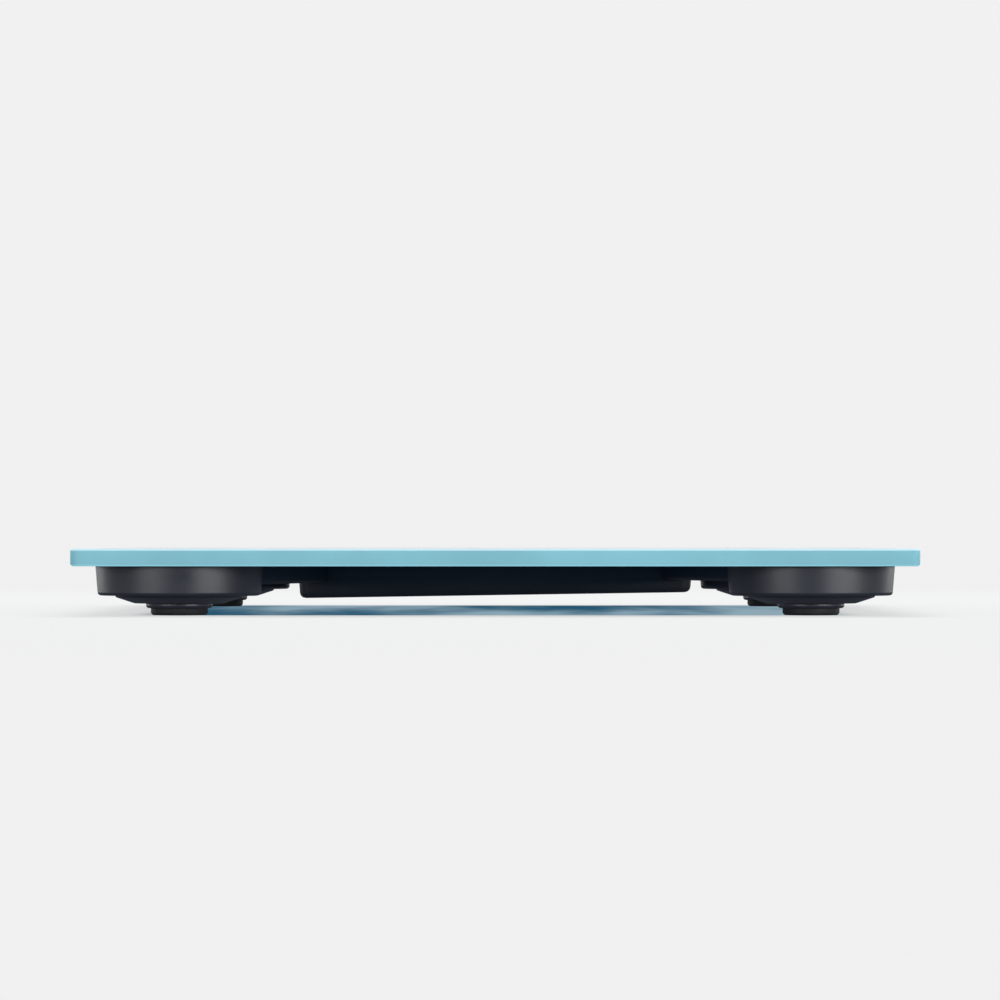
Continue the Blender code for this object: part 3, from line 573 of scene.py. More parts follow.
def rubber(made):
    """Matt sole with faint dust in its pores."""
    pores = made.noise(0.3, 3)
    dust = made.ramp(made.noise(5, 4), 0.5, 0.85)
    made.set(Base_Color=made.mix(dust * 0.35, (0.016, 0.016, 0.018), (0.06, 0.058, 0.055)))
    made.set(Roughness=0.66 + 0.2 * pores)
    made.bump(pores, 0.02)


def foam_tape(made):
    """Closed-cell foam."""
    grained(made, made.cells(0.28), (0.02, 0.021, 0.023), (0.045, 0.046, 0.05), 0.85, 0.1, 0.05)


def rolled_steel(made, colour, roughness, stretch=(0.02, 1, 1)):
    """Sheet steel: long rolling lines, small stains and scattered fine pits."""
    lines = made.noise(0.25, 2, stretch)
    stain = made.ramp(made.noise(7, 4), 0.55, 0.8)
    made.set(Base_Color=made.mix(stain * 0.5, colour, shade(colour, 0.72)))
    made.set(Metallic=1.0, Roughness=roughness + 0.14 * lines + 0.1 * stain)
    made.bump(lines + made.noise(0.12, 1) * 0.4, 0.006)


def cell_steel(made):
    """Load cell plate."""
    rolled_steel(made, (0.56, 0.56, 0.55), 0.28)


def screw_steel(made):
    """Zinc-plated screws and switch case."""
    rolled_steel(made, (0.62, 0.63, 0.64), 0.24, (1, 1, 0.3))


def spring_steel(made):
    """Bright drawn wire."""
    rolled_steel(made, (0.66, 0.66, 0.67), 0.16, (1, 1, 1))


def gold_strip(made):
    """Thinly gilded contact strip, paler where it was bent."""
    lines = made.noise(0.2, 2, (0.03, 1, 1))
    pale = made.ramp(made.noise(4, 3), 0.55, 0.8)
    made.set(Base_Color=made.mix(pale * 0.5, (0.82, 0.60, 0.26), (0.80, 0.72, 0.52)))
    made.set(Metallic=1.0, Roughness=0.2 + 0.15 * lines)
    made.bump(lines, 0.004)


def coin_nickel(made):
    """Nickel can of the coin cell, brushed in circles about its middle."""
    centre = (*((COIN_LOW + COIN_HIGH)[:2] / 2).tolist(), 0)
    x, y, z = made.parts(made.place(centre))
    radius = (x * x + y * y) ** 0.5
    vector = made.node("CombineXYZ", None, {0: radius / (0.09 * MM), 1: 0, 2: z / MM})
    rings = made.node("TexNoise", None, {"Vector": vector, "Scale": 1, "Detail": 2})
    finger = made.ramp(made.noise(3, 4), 0.6, 0.8)
    made.set(Base_Color=made.mix(finger * 0.4, (0.72, 0.71, 0.69), (0.55, 0.54, 0.52)))
    made.set(Metallic=1.0, Roughness=0.2 + 0.16 * rings + 0.1 * finger)
    made.bump(rings, 0.005)


def solder_mask(made):
    """Green lacquered board: level and upright tracks under the lacquer, and tinned dots."""
    x, y, _ = made.parts(made.place())
    pitch = 1.27 * MM
    across, down = (abs((part % pitch) / pitch - 0.5) < 0.16 for part in (y, x))
    level = made.ramp(made.noise(5, 1), 0.44, 0.46)
    track = across * level + down * (1 - level)
    dots = made.cells(2.1) < 0.17
    base = made.mix(track, (0.012, 0.12, 0.05), (0.03, 0.22, 0.09))
    made.set(Base_Color=made.mix(dots, base, (0.7, 0.7, 0.68)))
    made.set(Roughness=0.3 - 0.05 * dots, Metallic=dots * 0.9, Coat_Weight=0.4 - 0.4 * dots)
    made.bump(track * 0.6 + dots, 0.02)


def chip_resin(made):
    """Black resin of a chip, with a dull moulded face."""
    grained(made, made.noise(0.08, 2), (0.012, 0.012, 0.013), (0.03, 0.03, 0.031), 0.5, 0.2, 0.01)


def white_plastic(made):
    """Milky light guide."""
    grain = made.noise(0.15, 2)
    made.set(Base_Color=made.mix(made.noise(3, 3), (0.78, 0.79, 0.8), (0.88, 0.89, 0.9)))
    made.set(Roughness=0.4 + 0.15 * grain)
    made.bump(grain, 0.008)


def display_glass(made):
    """Grey-green display glass, switched off, with the faint cloud of its polariser."""
    dust = made.ramp(made.noise(0.5, 2), 0.72, 0.8)
    made.set(Base_Color=made.mix(made.noise(30, 2), (0.25, 0.30, 0.27), (0.31, 0.36, 0.33)))
    made.set(Roughness=0.24 + 0.2 * dust, Specular_IOR_Level=0.3)


def display_ink(made):
    """Unlit bars of the figures, just darker than the glass around them."""
    grained(made, made.noise(8, 2), (0.155, 0.19, 0.17), (0.18, 0.22, 0.20), 0.25, 0.1)


def cable_sleeve(made):
    """Soft red sleeve, slightly glossy, with drawn lines."""
    lines = made.noise(0.3, 2, (1, 1, 0.2))
    grained(made, lines, (0.32, 0.02, 0.018), (0.46, 0.04, 0.03), 0.38, 0.15, 0.01)


def studio_floor(made):
    """Pale table top. Under the glass it is painted a deep blue shadow with lighter painted
    streaks, for the light that comes through the platform.

    Near the scale it shows some of the shadows, and further out it only gives off its own light.
    """
    stage = bpy.context.scene.scale_stage
    x, y, _ = made.parts(made.place())
    reach = float(GLASS_HIGH[0])
    # Painted light: under the glass the floor is painted a blue shadow with lighter streaks, in
    # its colour and in the light it gives off, for light through the blue glass.
    across = 1 - made.ramp(abs(x), reach - 30 * MM, reach - 12 * MM)
    front = made.ramp(y, -reach + 22 * MM, -reach + 26 * MM)
    back = 1 - made.ramp(y, reach - 30 * MM, reach)
    streaks = made.ramp(made.noise(55, 3, (1, 0.15, 1)), 0.36, 0.66)
    blue = made.mix(streaks, stage.blue_light_colour, stage.painted_streak_colour)
    pale = made.mix(made.noise(1.5, 2), shade(stage.floor_colour, 0.985), stage.floor_colour)
    seen = made.mix(across * front * back, pale, blue)
    far = made.ramp((x * x + y * y) ** 0.5, 0.20, 0.75)
    taken = (1 - far) * stage.floor_shade
    given = stage.floor_glow + (1 - stage.floor_glow) * far
    made.set(Base_Color=made.mix(taken, (0, 0, 0), seen), Roughness=0.7)
    made.set(Emission_Color=made.mix(given, (0, 0, 0), seen), Emission_Strength=1.0)
    made.set(Specular_IOR_Level=0.0)


def material(finish):
    """The material that a finish makes, made once."""
    name = f"{finish.__name__}_finish"
    found = bpy.data.materials.get(name)
    if found is None:
        made = Finish(name)
        finish(made)
        found = made.material
    return found


# Sizes and colours


def length(name, description, default):
    """A length, its default in millimetres."""
    return FloatProperty(
        name=name, description=description, default=default * MM, min=0, unit="LENGTH", precision=5
    )


def colour(name, description, default):
    return FloatVectorProperty(
        name=name, description=description, default=default, min=0, max=1, subtype="COLOR"
    )


def number(name, description, default, unit="NONE"):
    return FloatProperty(name=name, description=description, default=default, min=0, unit=unit)


class ScaleGlass(bpy.types.PropertyGroup):
    """The platform and what is printed on its back"""

    corner: length("Corner", "Radius of the platform's corners", 2.5)
    arris: length("Arris", "Width of the slope along the platform's edges", 0.6)
    edge_width: length("Edge width", "How far the ground edge reaches inwards", 0.9)
    print_thickness: length("Print", "Thickness of the paint on the back", 0.12)
    ink_thickness: length("Ink", "Thickness of the silver ink", 0.03)
    ink_line: length("Ink line", "Width of the printed lines", 0.45)
    window_margin: length("Window margin", "Display panel hidden behind the print", 1.6)
    window_corner: length("Window corner", "Radius of the window's corners", 2.0)
    key_radius: length("Key", "Radius of the ring printed over a touch key", 6.5)
    edge_colour: colour("Edge", "Ground edge", (0.280, 0.615, 0.710))
    print_colour: colour("Print", "Paint on the back", (0.035, 0.235, 0.36))


class ScaleFeet(bpy.types.PropertyGroup):
    """The four feet"""

    cup_draft: length("Draft", "How much a cup narrows towards its foot", 0.6)
    cup_wall: length("Wall", "Wall of a cup", 1.3)
    cup_roof: length("Roof", "Roof of a cup", 1.2)
    cup_fillet: length("Rounding", "Rounding of a cup's lower edge", 1.0)
    ledge_width: length("Ledge width", "Ledge that holds the cell", 7.2)
    ledge_height: length("Ledge height", "Depth of the ledge", 1.0)
    slot: length("Cable slot", "Width and height of the way out for a cable", 3.2)
    ring_width: length("Ring", "Width of the ring that holds the disc", 3.0)
    flat_width: length("Flat", "Flat of the disc outside its rim", 3.3)
    flat_height: length("Flat height", "Height of the disc's flat", 3.4)
    shoulder_height: length("Shoulder", "Height where the disc's slope ends", 5.2)
    rim_wall: length("Rim", "Rim round the sole", 1.1)
    rim_fillet: length("Rim rounding", "Rounding of the rim's lower edge", 0.9)
    disc_wall: length("Disc wall", "Wall of the disc", 1.5)
    disc_lip: length("Lip", "Lip that the ring holds", 1.4)
    lip_thickness: length("Lip thickness", "Thickness of the lip", 0.8)
    boss_radius: length("Boss", "Boss under the cell", 5.0)
    bond_rim: length("Bond rim", "Rim of a cup round the tape that bonds it", 0.8)
    groove: length("Groove", "Depth of the rings in the sole", 0.35)
    groove_count: IntProperty(name="Rings", description="Rings in the sole", default=4, min=0)
    shell_colour: colour("Shell", "Plastic of the feet", (0.021, 0.025, 0.036))


class ScaleBox(bpy.types.PropertyGroup):
    """The electronics box, its door and what is inside"""

    bottom_right: length("Right bottom", "Height of the floor's right end", 5.3)
    corner: length("Corner", "Radius of the box's corners", 4.0)
    wall: length("Wall", "Wall of the box", 1.6)
    edge: length("Edge", "Rounding of small edges", 0.22)
    door_edge: length("Door edge", "Rounding of the door's edges", 0.25)
    door_corner: length("Door corner", "Radius of the door's corners", 1.0)
    groove: length("Groove", "Depth of the grip grooves", 0.35)
    groove_count: IntProperty(
        name="Grooves", description="Grip grooves in the door", default=4, min=0, max=8
    )
    box_colour: colour("Box", "Plastic of the box", (0.028, 0.035, 0.048))


class ScaleStage(bpy.types.PropertyGroup):
    """Floor, lights and camera"""

    floor_side: length("Floor", "Side of the floor", 60000)
    backdrop: colour("Backdrop", "Light from all round", (0.880, 0.880, 0.880))
    light_near: colour("Near light", "Soft light from the near side", (0.62, 0.65, 0.69))
    light_far: colour("Far light", "Soft light from the far side", (1.0, 1.0, 1.0))
    light_below: colour("Low light", "Soft light from below", (0.06, 0.07, 0.09))
    floor_colour: colour("Floor", "Pale floor", (0.880, 0.880, 0.880))
    # Blue of the light painted on the floor under the glass, and of the glow lamp.
    blue_light_colour: colour("Cast", "Blue cast under the glass", (0.026, 0.125, 0.215))
    # Lighter streaks painted into that blue light on the floor.
    painted_streak_colour: colour("Streaks", "Lighter streaks in the cast", (0.36, 0.52, 0.61))
    floor_glow: number("Glow", "Light that the floor gives off itself", 0.72)
    floor_shade: number("Shade", "How much of the shadows the floor shows", 0.23)
    key_power: number("Key", "Panel at the right", 6.6, "POWER")
    fill_power: number("Fill", "Panel at the left", 3.4, "POWER")
    rim_power: number("Rims", "Panels behind both sides", 2.0, "POWER")
    top_power: number("Top", "Panel above the far side", 14.0, "POWER")
    glow_power: number("Glass glow", "Blue light under the glass", 0.06, "POWER")
    lens: FloatProperty(
        name="Lens", description="Focal length", default=163.3, min=1, unit="CAMERA"
    )
    shift: FloatVectorProperty(
        name="Shift", description="Lens shift", default=(0.0048, 0.0415), size=2, precision=4
    )
    camera_distance: length("Distance", "From the camera to the middle of the scale", 1398)
    camera_height: length("Height", "Camera above the floor", 21.2)


# Pieces


def seven_segments(centre, width, tall, bar, lean):
    """Outlines of the seven bars of a figure: hexagons along its edges, leaning to the right."""
    places = np.array([(0, 1), (0, 0), (0, -1), (-1, 0.5), (1, 0.5), (-1, -0.5), (1, -0.5)])
    upright = places[:, 0] != 0
    tip = bar / 2
    reach = np.where(upright, tall / 2, width) / 2 - tip * 1.25
    hexagon = np.array([(1, 0), (1, 1), (-1, 1), (-1, 0), (-1, -1), (1, -1)], float)
    shape = np.empty((7, 6, 2))
    shape[..., 0] = hexagon[:, 0] * (reach[:, None] - tip * np.abs(hexagon[:, 1]))
    shape[..., 1] = hexagon[:, 1] * tip
    shape[upright] = shape[upright][..., ::-1]
    shape += (places * (width, tall) / 2)[:, None]
    shape[..., 0] += shape[..., 1] * lean
    return shape + centre


class SCALE_OT_glass(bpy.types.Operator):
    """Builds the glass platform: ground edge, clear face, paint and silver ink"""

    bl_idname = "scale.glass"
    bl_label = "Glass Platform"

    def execute(self, context):
        sizes = context.scene.scale_glass
        size = (GLASS_HIGH - GLASS_LOW)[:2]
        bottom, top = GLASS_LOW[2], GLASS_HIGH[2]
        arris, width = sizes.arris, sizes.edge_width
        upper = [(0, top - arris), (arris, top), (width, top)]
        section = [(width, bottom), (arris, bottom), (0, bottom + arris), *upper]
        section = softened(section, 0.12 * MM, 3, closed=True)
        edge = framed("glass_edge", section, (0, 0), size, sizes.corner)
        add_piece(edge, ground_glass, replaces=["glass_platform"])

        outline = rounded_rectangle((0, 0), size - 2 * width, sizes.corner - width)
        paint_top = bottom + sizes.print_thickness
        ink_top = paint_top + sizes.ink_thickness
        under, over = level(ink_top + FACE_GAP), level(top - FACE_GAP)
        pane = slab("glass_pane", outline, under, over, 2 * FACE_GAP)
        add_piece(pane, clear_glass, replaces=["glass_platform"])

        panel_centre = middle("display_panel")[:2]
        window_size = (PANEL_HIGH - PANEL_LOW)[:2] - 2 * sizes.window_margin
        window = rounded_rectangle(panel_centre, window_size, sizes.window_corner)
        loops = ((outline, bottom), (outline, paint_top), (window, paint_top), (window, bottom))
        paint = skinned("back_print", [at_height(*loop) for loop in loops], ring=True)
        add_piece(paint, back_print, replaces=["glass_platform"])

        line = sizes.ink_line
        section = box_section(-2 * line, -line, paint_top, ink_top)
        border = framed("window_line", section, panel_centre, window_size, sizes.window_corner)
        add_piece(border, silver_ink)
        self.add_keys(sizes, paint_top, ink_top)
        return {"FINISHED"}

    def add_keys(self, sizes, z0, z1):
        """A ring over each touch key. The left one holds a switch sign, the right one a dot."""
        line, radius = sizes.ink_line, sizes.key_radius
        for side in ("left", "right"):
            section = box_section(radius - line, radius, z0, z1)
            centre = middle(f"touch_spring_{side}")
            ring = turned(f"key_ring_{side}", section, centre, ring=True)
            add_piece(ring, silver_ink)
        angle = np.radians(np.linspace(125, 415, 65))
        inner = radius * 0.40
        outer = inner + line
        near, far = (np.stack([r * np.cos(angle), r * np.sin(angle)], 1) for r in (inner, outer))
        arc = np.stack([near[:-1], far[:-1], far[1:], near[1:]], axis=1)
        start, end = inner * 0.45, outer * 1.12
        bar = [[(-line / 2, start), (line / 2, start), (line / 2, end), (-line / 2, end)]]
        outlines = np.concatenate([arc, bar]) + middle("touch_spring_left")[:2]
        add_piece(prisms("switch_sign", outlines, z0, z1), silver_ink)
        outline = circle(middle("touch_spring_right"), radius * 0.2, SMALL_SIDES)
        add_piece(prisms("tare_dot", [outline], z0, z1), silver_ink)


class SCALE_OT_display(bpy.types.Operator):
    """Builds the display under the window"""

    bl_idname = "scale.display"
    bl_label = "Display"

    def execute(self, context):
        edge = context.scene.scale_box.edge
        width, depth = (PANEL_HIGH - PANEL_LOW)[:2]
        add_rounded("display_glass_panel", "display_panel", display_glass, edge)
        tall = depth * 0.46
        figures = [
            seven_segments(middle("display_panel")[:2] + (x, 0), tall / 2, tall, tall * 0.11, 0.08)
            for x in np.linspace(-0.30, 0.30, 4) * width
        ]
        top = PANEL_HIGH[2]
        ink = prisms("display_figures", np.concatenate(figures), top, top + 0.02 * MM)
        add_piece(ink, display_ink)
        add_rounded("display_holder", "display_frame", black_plastic, edge)
        add_rounded("display_light", "display_backlight", white_plastic, edge)
        add_rounded("display_plug", "display_connector", chip_resin, edge)
        return {"FINISHED"}


class SCALE_OT_feet(bpy.types.Operator):
    """Builds the four feet: bond, cup, ring, disc and sole"""

    bl_idname = "scale.feet"
    bl_label = "Feet"

    def execute(self, context):
        for place in PLACES:
            self.add_shell(context.scene.scale_feet, place)
            self.add_disc(context.scene.scale_feet, place)
        return {"FINISHED"}

    def add_shell(self, sizes, place):
        """The tape on the glass, the cup with its slot, and the ring under it."""
        node = f"foot_housing_{place}"
        centre, top_radius = middle(node), radius_of(node)
        bottom, top = low(node)[2], high(node)[2]
        bond_radius = top_radius - sizes.bond_rim
        bond = [(bond_radius, top), (bond_radius, GLASS_LOW[2])]
        bond = turned(f"foot_bond_{place}", bond, centre)
        add_piece(bond, foam_tape, replaces=[f"foot_tape_{place}"])

        foot_radius = top_radius - sizes.cup_draft
        inner = foot_radius - sizes.cup_wall
        ledge = inner - sizes.ledge_width
        ceiling = top - sizes.cup_roof
        shelf = ceiling - sizes.ledge_height
        fillet = sizes.cup_fillet
        rim = GLASS_LOW[2] - 0.12 * MM
        step = bond_radius + 0.05 * MM
        quarter = np.linspace(0, math.pi / 2, 9)[1:]
        arc_radius = foot_radius - fillet * (1 - np.cos(quarter))
        arc_height = bottom + fillet * (1 - np.sin(quarter))
        profile = [
            (step, top),
            (step, rim),
            (top_radius - 0.1 * MM, rim),
            (top_radius, rim - 0.1 * MM),
            (foot_radius, bottom + fillet),
            *zip(arc_radius, arc_height),
            (inner + 0.15 * MM, bottom),
            (inner, bottom + 0.15 * MM),
            (inner, shelf),
            (ledge, shelf),
            (ledge, ceiling),
        ]
        cup = turned(f"foot_cup_{place}", profile, centre)
        cup = cut_away(cup, self.cable_slot(place, sizes.slot, ledge, top_radius, ceiling))
        add_piece(cup, charcoal_plastic, replaces=[node])

        node = f"foot_ring_{place}"
        outer = radius_of(node)
        section = box_section(outer - sizes.ring_width, outer, low(node)[2], high(node)[2])
        section = softened(section, 0.2 * MM, 3, closed=True)
        ring = turned(f"foot_collar_{place}", section, centre, ring=True)
        add_piece(ring, charcoal_plastic, replaces=[node])

    def cable_slot(self, place, width, start, end, ceiling):
        """A bar through the cup's wall, along the cover that the cable leaves through."""
        centre, along = middle(f"foot_housing_{place}")[:2], cover_direction(place)
        side = np.array([-along[1], along[0]]) * width / 2
        near, far = centre + along * start, centre + along * (end + 2 * MM)
        outline = np.array([near - side, far - side, far + side, near + side])
        return prisms(f"slot_{place}", [outline], ceiling - width, ceiling)

    def add_disc(self, sizes, place):
        """The dish that presses on the cell, and the sole under it."""
        disc, pad = f"foot_disc_{place}", f"foot_pad_{place}"
        bottom, pad_bottom, pad_top = low(disc)[2], low(pad)[2], high(pad)[2]
        pad_radius, lip_radius = radius_of(pad), radius_of(disc)
        radius = lip_radius - sizes.disc_lip
        seat = pad_top + 0.02 * MM
        recess = pad_radius + 0.05 * MM
        rim = pad_radius + 0.3 * MM + sizes.rim_wall
        flat = rim + sizes.flat_width
        lip_low = high(f"foot_ring_{place}")[2] + 0.3 * MM
        lip_high = lip_low + sizes.lip_thickness
        slope = (sizes.shoulder_height - sizes.flat_height) / (radius - flat)
        pocket = radius - sizes.disc_wall
        pocket_floor = seat + sizes.disc_wall + 0.6 * MM
        turn = np.linspace(0, math.pi / 2, 7)
        arc_radius = rim - sizes.rim_fillet * (1 - np.sin(turn))
        arc_height = bottom + sizes.rim_fillet * (1 - np.cos(turn))
        profile = [
            (recess, seat),
            (recess, bottom),
            *zip(arc_radius, arc_height),
            (rim, sizes.flat_height),
            (flat, sizes.flat_height),
            (radius, sizes.shoulder_height),
            (radius, lip_low),
            (lip_radius, lip_low),
            (lip_radius, lip_high),
            (pocket, lip_high),
            (pocket, sizes.shoulder_height + sizes.disc_wall * (1 - slope)),
            (flat, pocket_floor),
            (sizes.boss_radius, pocket_floor),
            (sizes.boss_radius, high(disc)[2]),
        ]
        dish = turned(f"foot_dish_{place}", softened(profile, 0.45 * MM, 5), middle(pad))
        add_piece(dish, charcoal_plastic, f"foot_{place}", [disc])

        steps = np.linspace(0.18, 0.86, 120)
        turns = np.clip((steps - 0.2) / 0.64, 0, 1) * sizes.groove_count
        wave = 0.5 - 0.5 * np.cos(turns * 2 * math.pi)
        grooves = np.stack([steps * pad_radius, pad_bottom + sizes.groove * wave], 1)
        slope = 0.6 * MM
        edge = [(pad_radius - slope, pad_bottom), (pad_radius, pad_bottom + slope)]
        edge = softened([grooves[-1], *edge, (pad_radius, pad_top)], 0.35 * MM, 4)
        profile = np.concatenate([grooves, edge[1:]])
        sole = turned(f"foot_sole_{place}", profile, middle(pad))
        add_piece(sole, rubber, f"foot_{place}", [pad])


def cover_of(place):
    """The frame node of the cover between a foot and the box."""
    kind = "wire_bridge" if place.startswith("far") else "wire_channel"
    return f"{kind}_{place.split('_')[1]}"


def cable_entry(place):
    """Where a cable goes into the box: straight in at the far side, at the near wall otherwise."""
    left = place.endswith("left")
    if place.startswith("far"):
        return np.array([(BOX_LOW if left else BOX_HIGH)[0], middle(f"foot_pad_{place}")[1]])
    x = BOX_LOW[0] + ENTRY_INSET if left else BOX_HIGH[0] - ENTRY_INSET
    return np.array([x, BOX_LOW[1]])


def cover_direction(place):
    """Unit vector from a foot's axis along its cover."""
    along = cable_entry(place) - middle(f"foot_pad_{place}")[:2]
    return along / np.linalg.norm(along)


class SCALE_OT_cells(bpy.types.Operator):
    """Builds the load cells and finishes the cables that run from them to the board"""

    bl_idname = "scale.cells"
    bl_label = "Load Cells"

    def execute(self, context):
        for place in PLACES:
            node = f"load_cell_{place}"
            add_rounded(f"cell_plate_{place}", node, cell_steel, 0.12 * MM)
        for place in PLACES:
            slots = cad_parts[f"cell_cable_{place}"].data.materials
            slots.clear()
            slots.append(material(cable_sleeve))
        return {"FINISHED"}


class SCALE_OT_covers(bpy.types.Operator):
    """Builds the covers over the cables"""

    bl_idname = "scale.covers"
    bl_label = "Wire Covers"

    def execute(self, context):
        for node in map(cover_of, PLACES):
            name = node.replace("wire_", "cover_")
            add_rounded(name, node, black_plastic, 0.25 * MM)
        return {"FINISHED"}


class SCALE_OT_box(bpy.types.Operator):
    """Builds the electronics box and the tape that holds it to the glass"""

    bl_idname = "scale.box"
    bl_label = "Electronics Box"

    def execute(self, context):
        sizes = context.scene.scale_box
        node = "electronics_housing"
        add_rounded("electronics_tub", node, black_plastic, sizes.edge)
        section = box_section(0.4 * MM, sizes.wall, BOX_HIGH[2], GLASS_LOW[2])
        tape = framed("tub_tape", section, middle(node), BOX_HIGH - BOX_LOW, sizes.corner)
        add_piece(tape, foam_tape, replaces=["housing_tape"])
        return {"FINISHED"}


class SCALE_OT_battery(bpy.types.Operator):
    """Builds the coin cell, its contacts and the door over it"""

    bl_idname = "scale.battery"
    bl_label = "Battery"

    def execute(self, context):
        self.add_door(context.scene.scale_box)
        self.add_coin()
        for node in ("contact_positive", "contact_negative"):
            name = node.replace("contact", "battery_strip")
            add_rounded(name, node, gold_strip, 0.08 * MM)
        return {"FINISHED"}

    def add_door(self, sizes):
        """A lid that follows the box's sloping floor, with grip grooves by its free edge.

        A groove's depth falls off as exp(-(d / w)^2), d being how far a point is from its line.
        """
        size, centre = DOOR_HIGH - DOOR_LOW, middle("battery_door")
        outline = rounded_rectangle(centre, size, sizes.door_corner)
        after = np.roll(outline, -1, axis=0)
        outline = np.concatenate([np.linspace(a, b, 13)[:-1] for a, b in zip(outline, after)])
        slope = (sizes.bottom_right - BOX_LOW[2]) / (BOX_HIGH - BOX_LOW)[0]
        thickness = size[2] - slope * size[0]
        reach, fade, width = 6.0 * MM, 0.8 * MM, 0.42 * MM
        first, pitch = 3.4, 1.8

        def plain(x):
            return BOX_LOW[2] + slope * (x - BOX_LOW[0])

        def under(x, y):
            face = plain(x)
            across = np.clip((reach - np.abs(y - centre[1])) / fade, 0, 1)
            across = across * across * (3 - 2 * across)
            for groove in range(sizes.groove_count):
                line = DOOR_HIGH[0] - (first + pitch * groove) * MM
                face = face + sizes.groove * across * np.exp(-(((x - line) / width) ** 2))
            return face

        def over(x, y):
            return plain(x) + thickness

        door = slab("battery_cover", outline, under, over, sizes.door_edge, rows=90)
        add_piece(door, black_plastic, "battery_door", ["battery_door"])

    def add_coin(self):
        """A can with a rolled edge, a plus sign pressed into its flat face, and a cap."""
        radius = radius_of("coin_cell") / MM
        bottom, top = COIN_LOW[2] / MM, COIN_HIGH[2] / MM
        cap = radius - 1.2
        can = [
            (radius - 0.25, bottom),
            (radius, bottom + 0.25),
            (radius, top - 1.3),
            (cap + 0.5, top - 0.42),
            (cap + 0.2, top - 0.40),
            (cap + 0.1, top - 0.55),
            (cap, top - 0.50),
            (cap, top - 0.12),
            (cap - 0.15, top),
        ]
        can = softened(np.array(can) * MM, 0.12 * MM, 3)
        plus = pressed_cross(0.06 * MM, 2.4 * MM, 0.42 * MM, 0.88, 1.12)
        coin = turned("coin_can", can, middle("coin_cell"), 160, (90, 0), plus)
        add_piece(coin, coin_nickel, replaces=["coin_cell"])


class SCALE_OT_board(bpy.types.Operator):
    """Builds the circuit board and the parts on it"""

    bl_idname = "scale.board"
    bl_label = "Circuit Board"

    def execute(self, context):
        add_rounded("board_plate", "circuit_board", solder_mask, 0)
        add_rounded("processor_case", "processor", chip_resin, 0.12 * MM)
        add_rounded("switch_case", "unit_switch", screw_steel, 0.08 * MM)
        for place in PLACES:
            self.add_screw(place)
        for side in ("left", "right"):
            self.add_spring(side)
        return {"FINISHED"}

    def add_screw(self, place):
        """A pointed shank with six rings for its thread, and a domed head with a cross recess."""
        node = f"board_screw_{place}"
        bottom, top = low(node)[2], high(node)[2]
        head, shank, thread_depth = radius_of(node), 0.8 * MM, 0.12 * MM
        seat = top - 1.2 * MM
        turns = np.linspace(0, 1, 60)
        thread = shank - thread_depth * (0.5 + 0.5 * np.cos(turns * 2 * math.pi * 6))
        shaft = np.stack([thread, bottom + 0.7 * MM + turns * (seat - bottom - 0.8 * MM)], 1)
        tip = [(0.1 * MM, bottom), (shank * 0.7, bottom + 0.55 * MM)]
        dome = [(shank, seat), (head, seat), (head, top - 0.5 * MM), (head * 0.6, top)]
        profile = np.concatenate([tip, shaft, softened(dome, 0.25 * MM, 4)])
        cross = pressed_cross(-0.6 * MM, 0.95 * MM, 0.22 * MM, 0.75, 1.15)
        screw = turned(f"screw_{place}", profile, middle(node), SMALL_SIDES, (0, 26), cross)
        add_piece(screw, screw_steel, replaces=[node])

    def add_spring(self, side):
        """A cone of wire: the radius and the height grow evenly with the angle."""
        node = f"touch_spring_{side}"
        wire, narrow, wide, turns = 0.3 * MM, 2.6 * MM, 4.2 * MM, 4
        bottom, top = low(node)[2] + wire, high(node)[2] - wire
        axis_x, axis_y = high(node)[0] - wide - wire, middle("display_panel")[1]
        share = np.linspace(0, 1, turns * SMALL_SIDES + 1)
        angle = share * 2 * math.pi * turns
        radius = narrow + (wide - narrow) * share
        x, y = axis_x + radius * np.cos(angle), axis_y + radius * np.sin(angle)
        path = np.stack([x, y, bottom + (top - bottom) * share], 1)
        spring = tube(f"key_spring_{side}", path, wire, 12)
        add_piece(spring, spring_steel, replaces=[node])


class SCALE_OT_button(bpy.types.Operator):
    """Builds the unit button"""

    bl_idname = "scale.button"
    bl_label = "Unit Button"

    def execute(self, context):
        node = "unit_button"
        bottom, top = low(node)[2], high(node)[2]
        lip = radius_of(node)
        radius = lip - 1.0 * MM
        seat = bottom + 1.0 * MM
        shelf = seat + 0.7 * MM
        cap = [(radius * 0.6, bottom), (radius, bottom), (radius, seat), (lip, seat)]
        profile = [*cap, (lip, shelf), (radius / 2, shelf), (radius / 2, top)]

        def dimple(x, y):
            return 0.35 * MM * np.clip(1 - (x * x + y * y) / (0.8 * radius) ** 2, 0, 1)

        rounded = softened(profile, 0.25 * MM, 5)
        button = turned("button_cap", rounded, middle(node), SMALL_SIDES, (24, 0), dimple)
        add_piece(button, charcoal_plastic, node, [node])
        return {"FINISHED"}


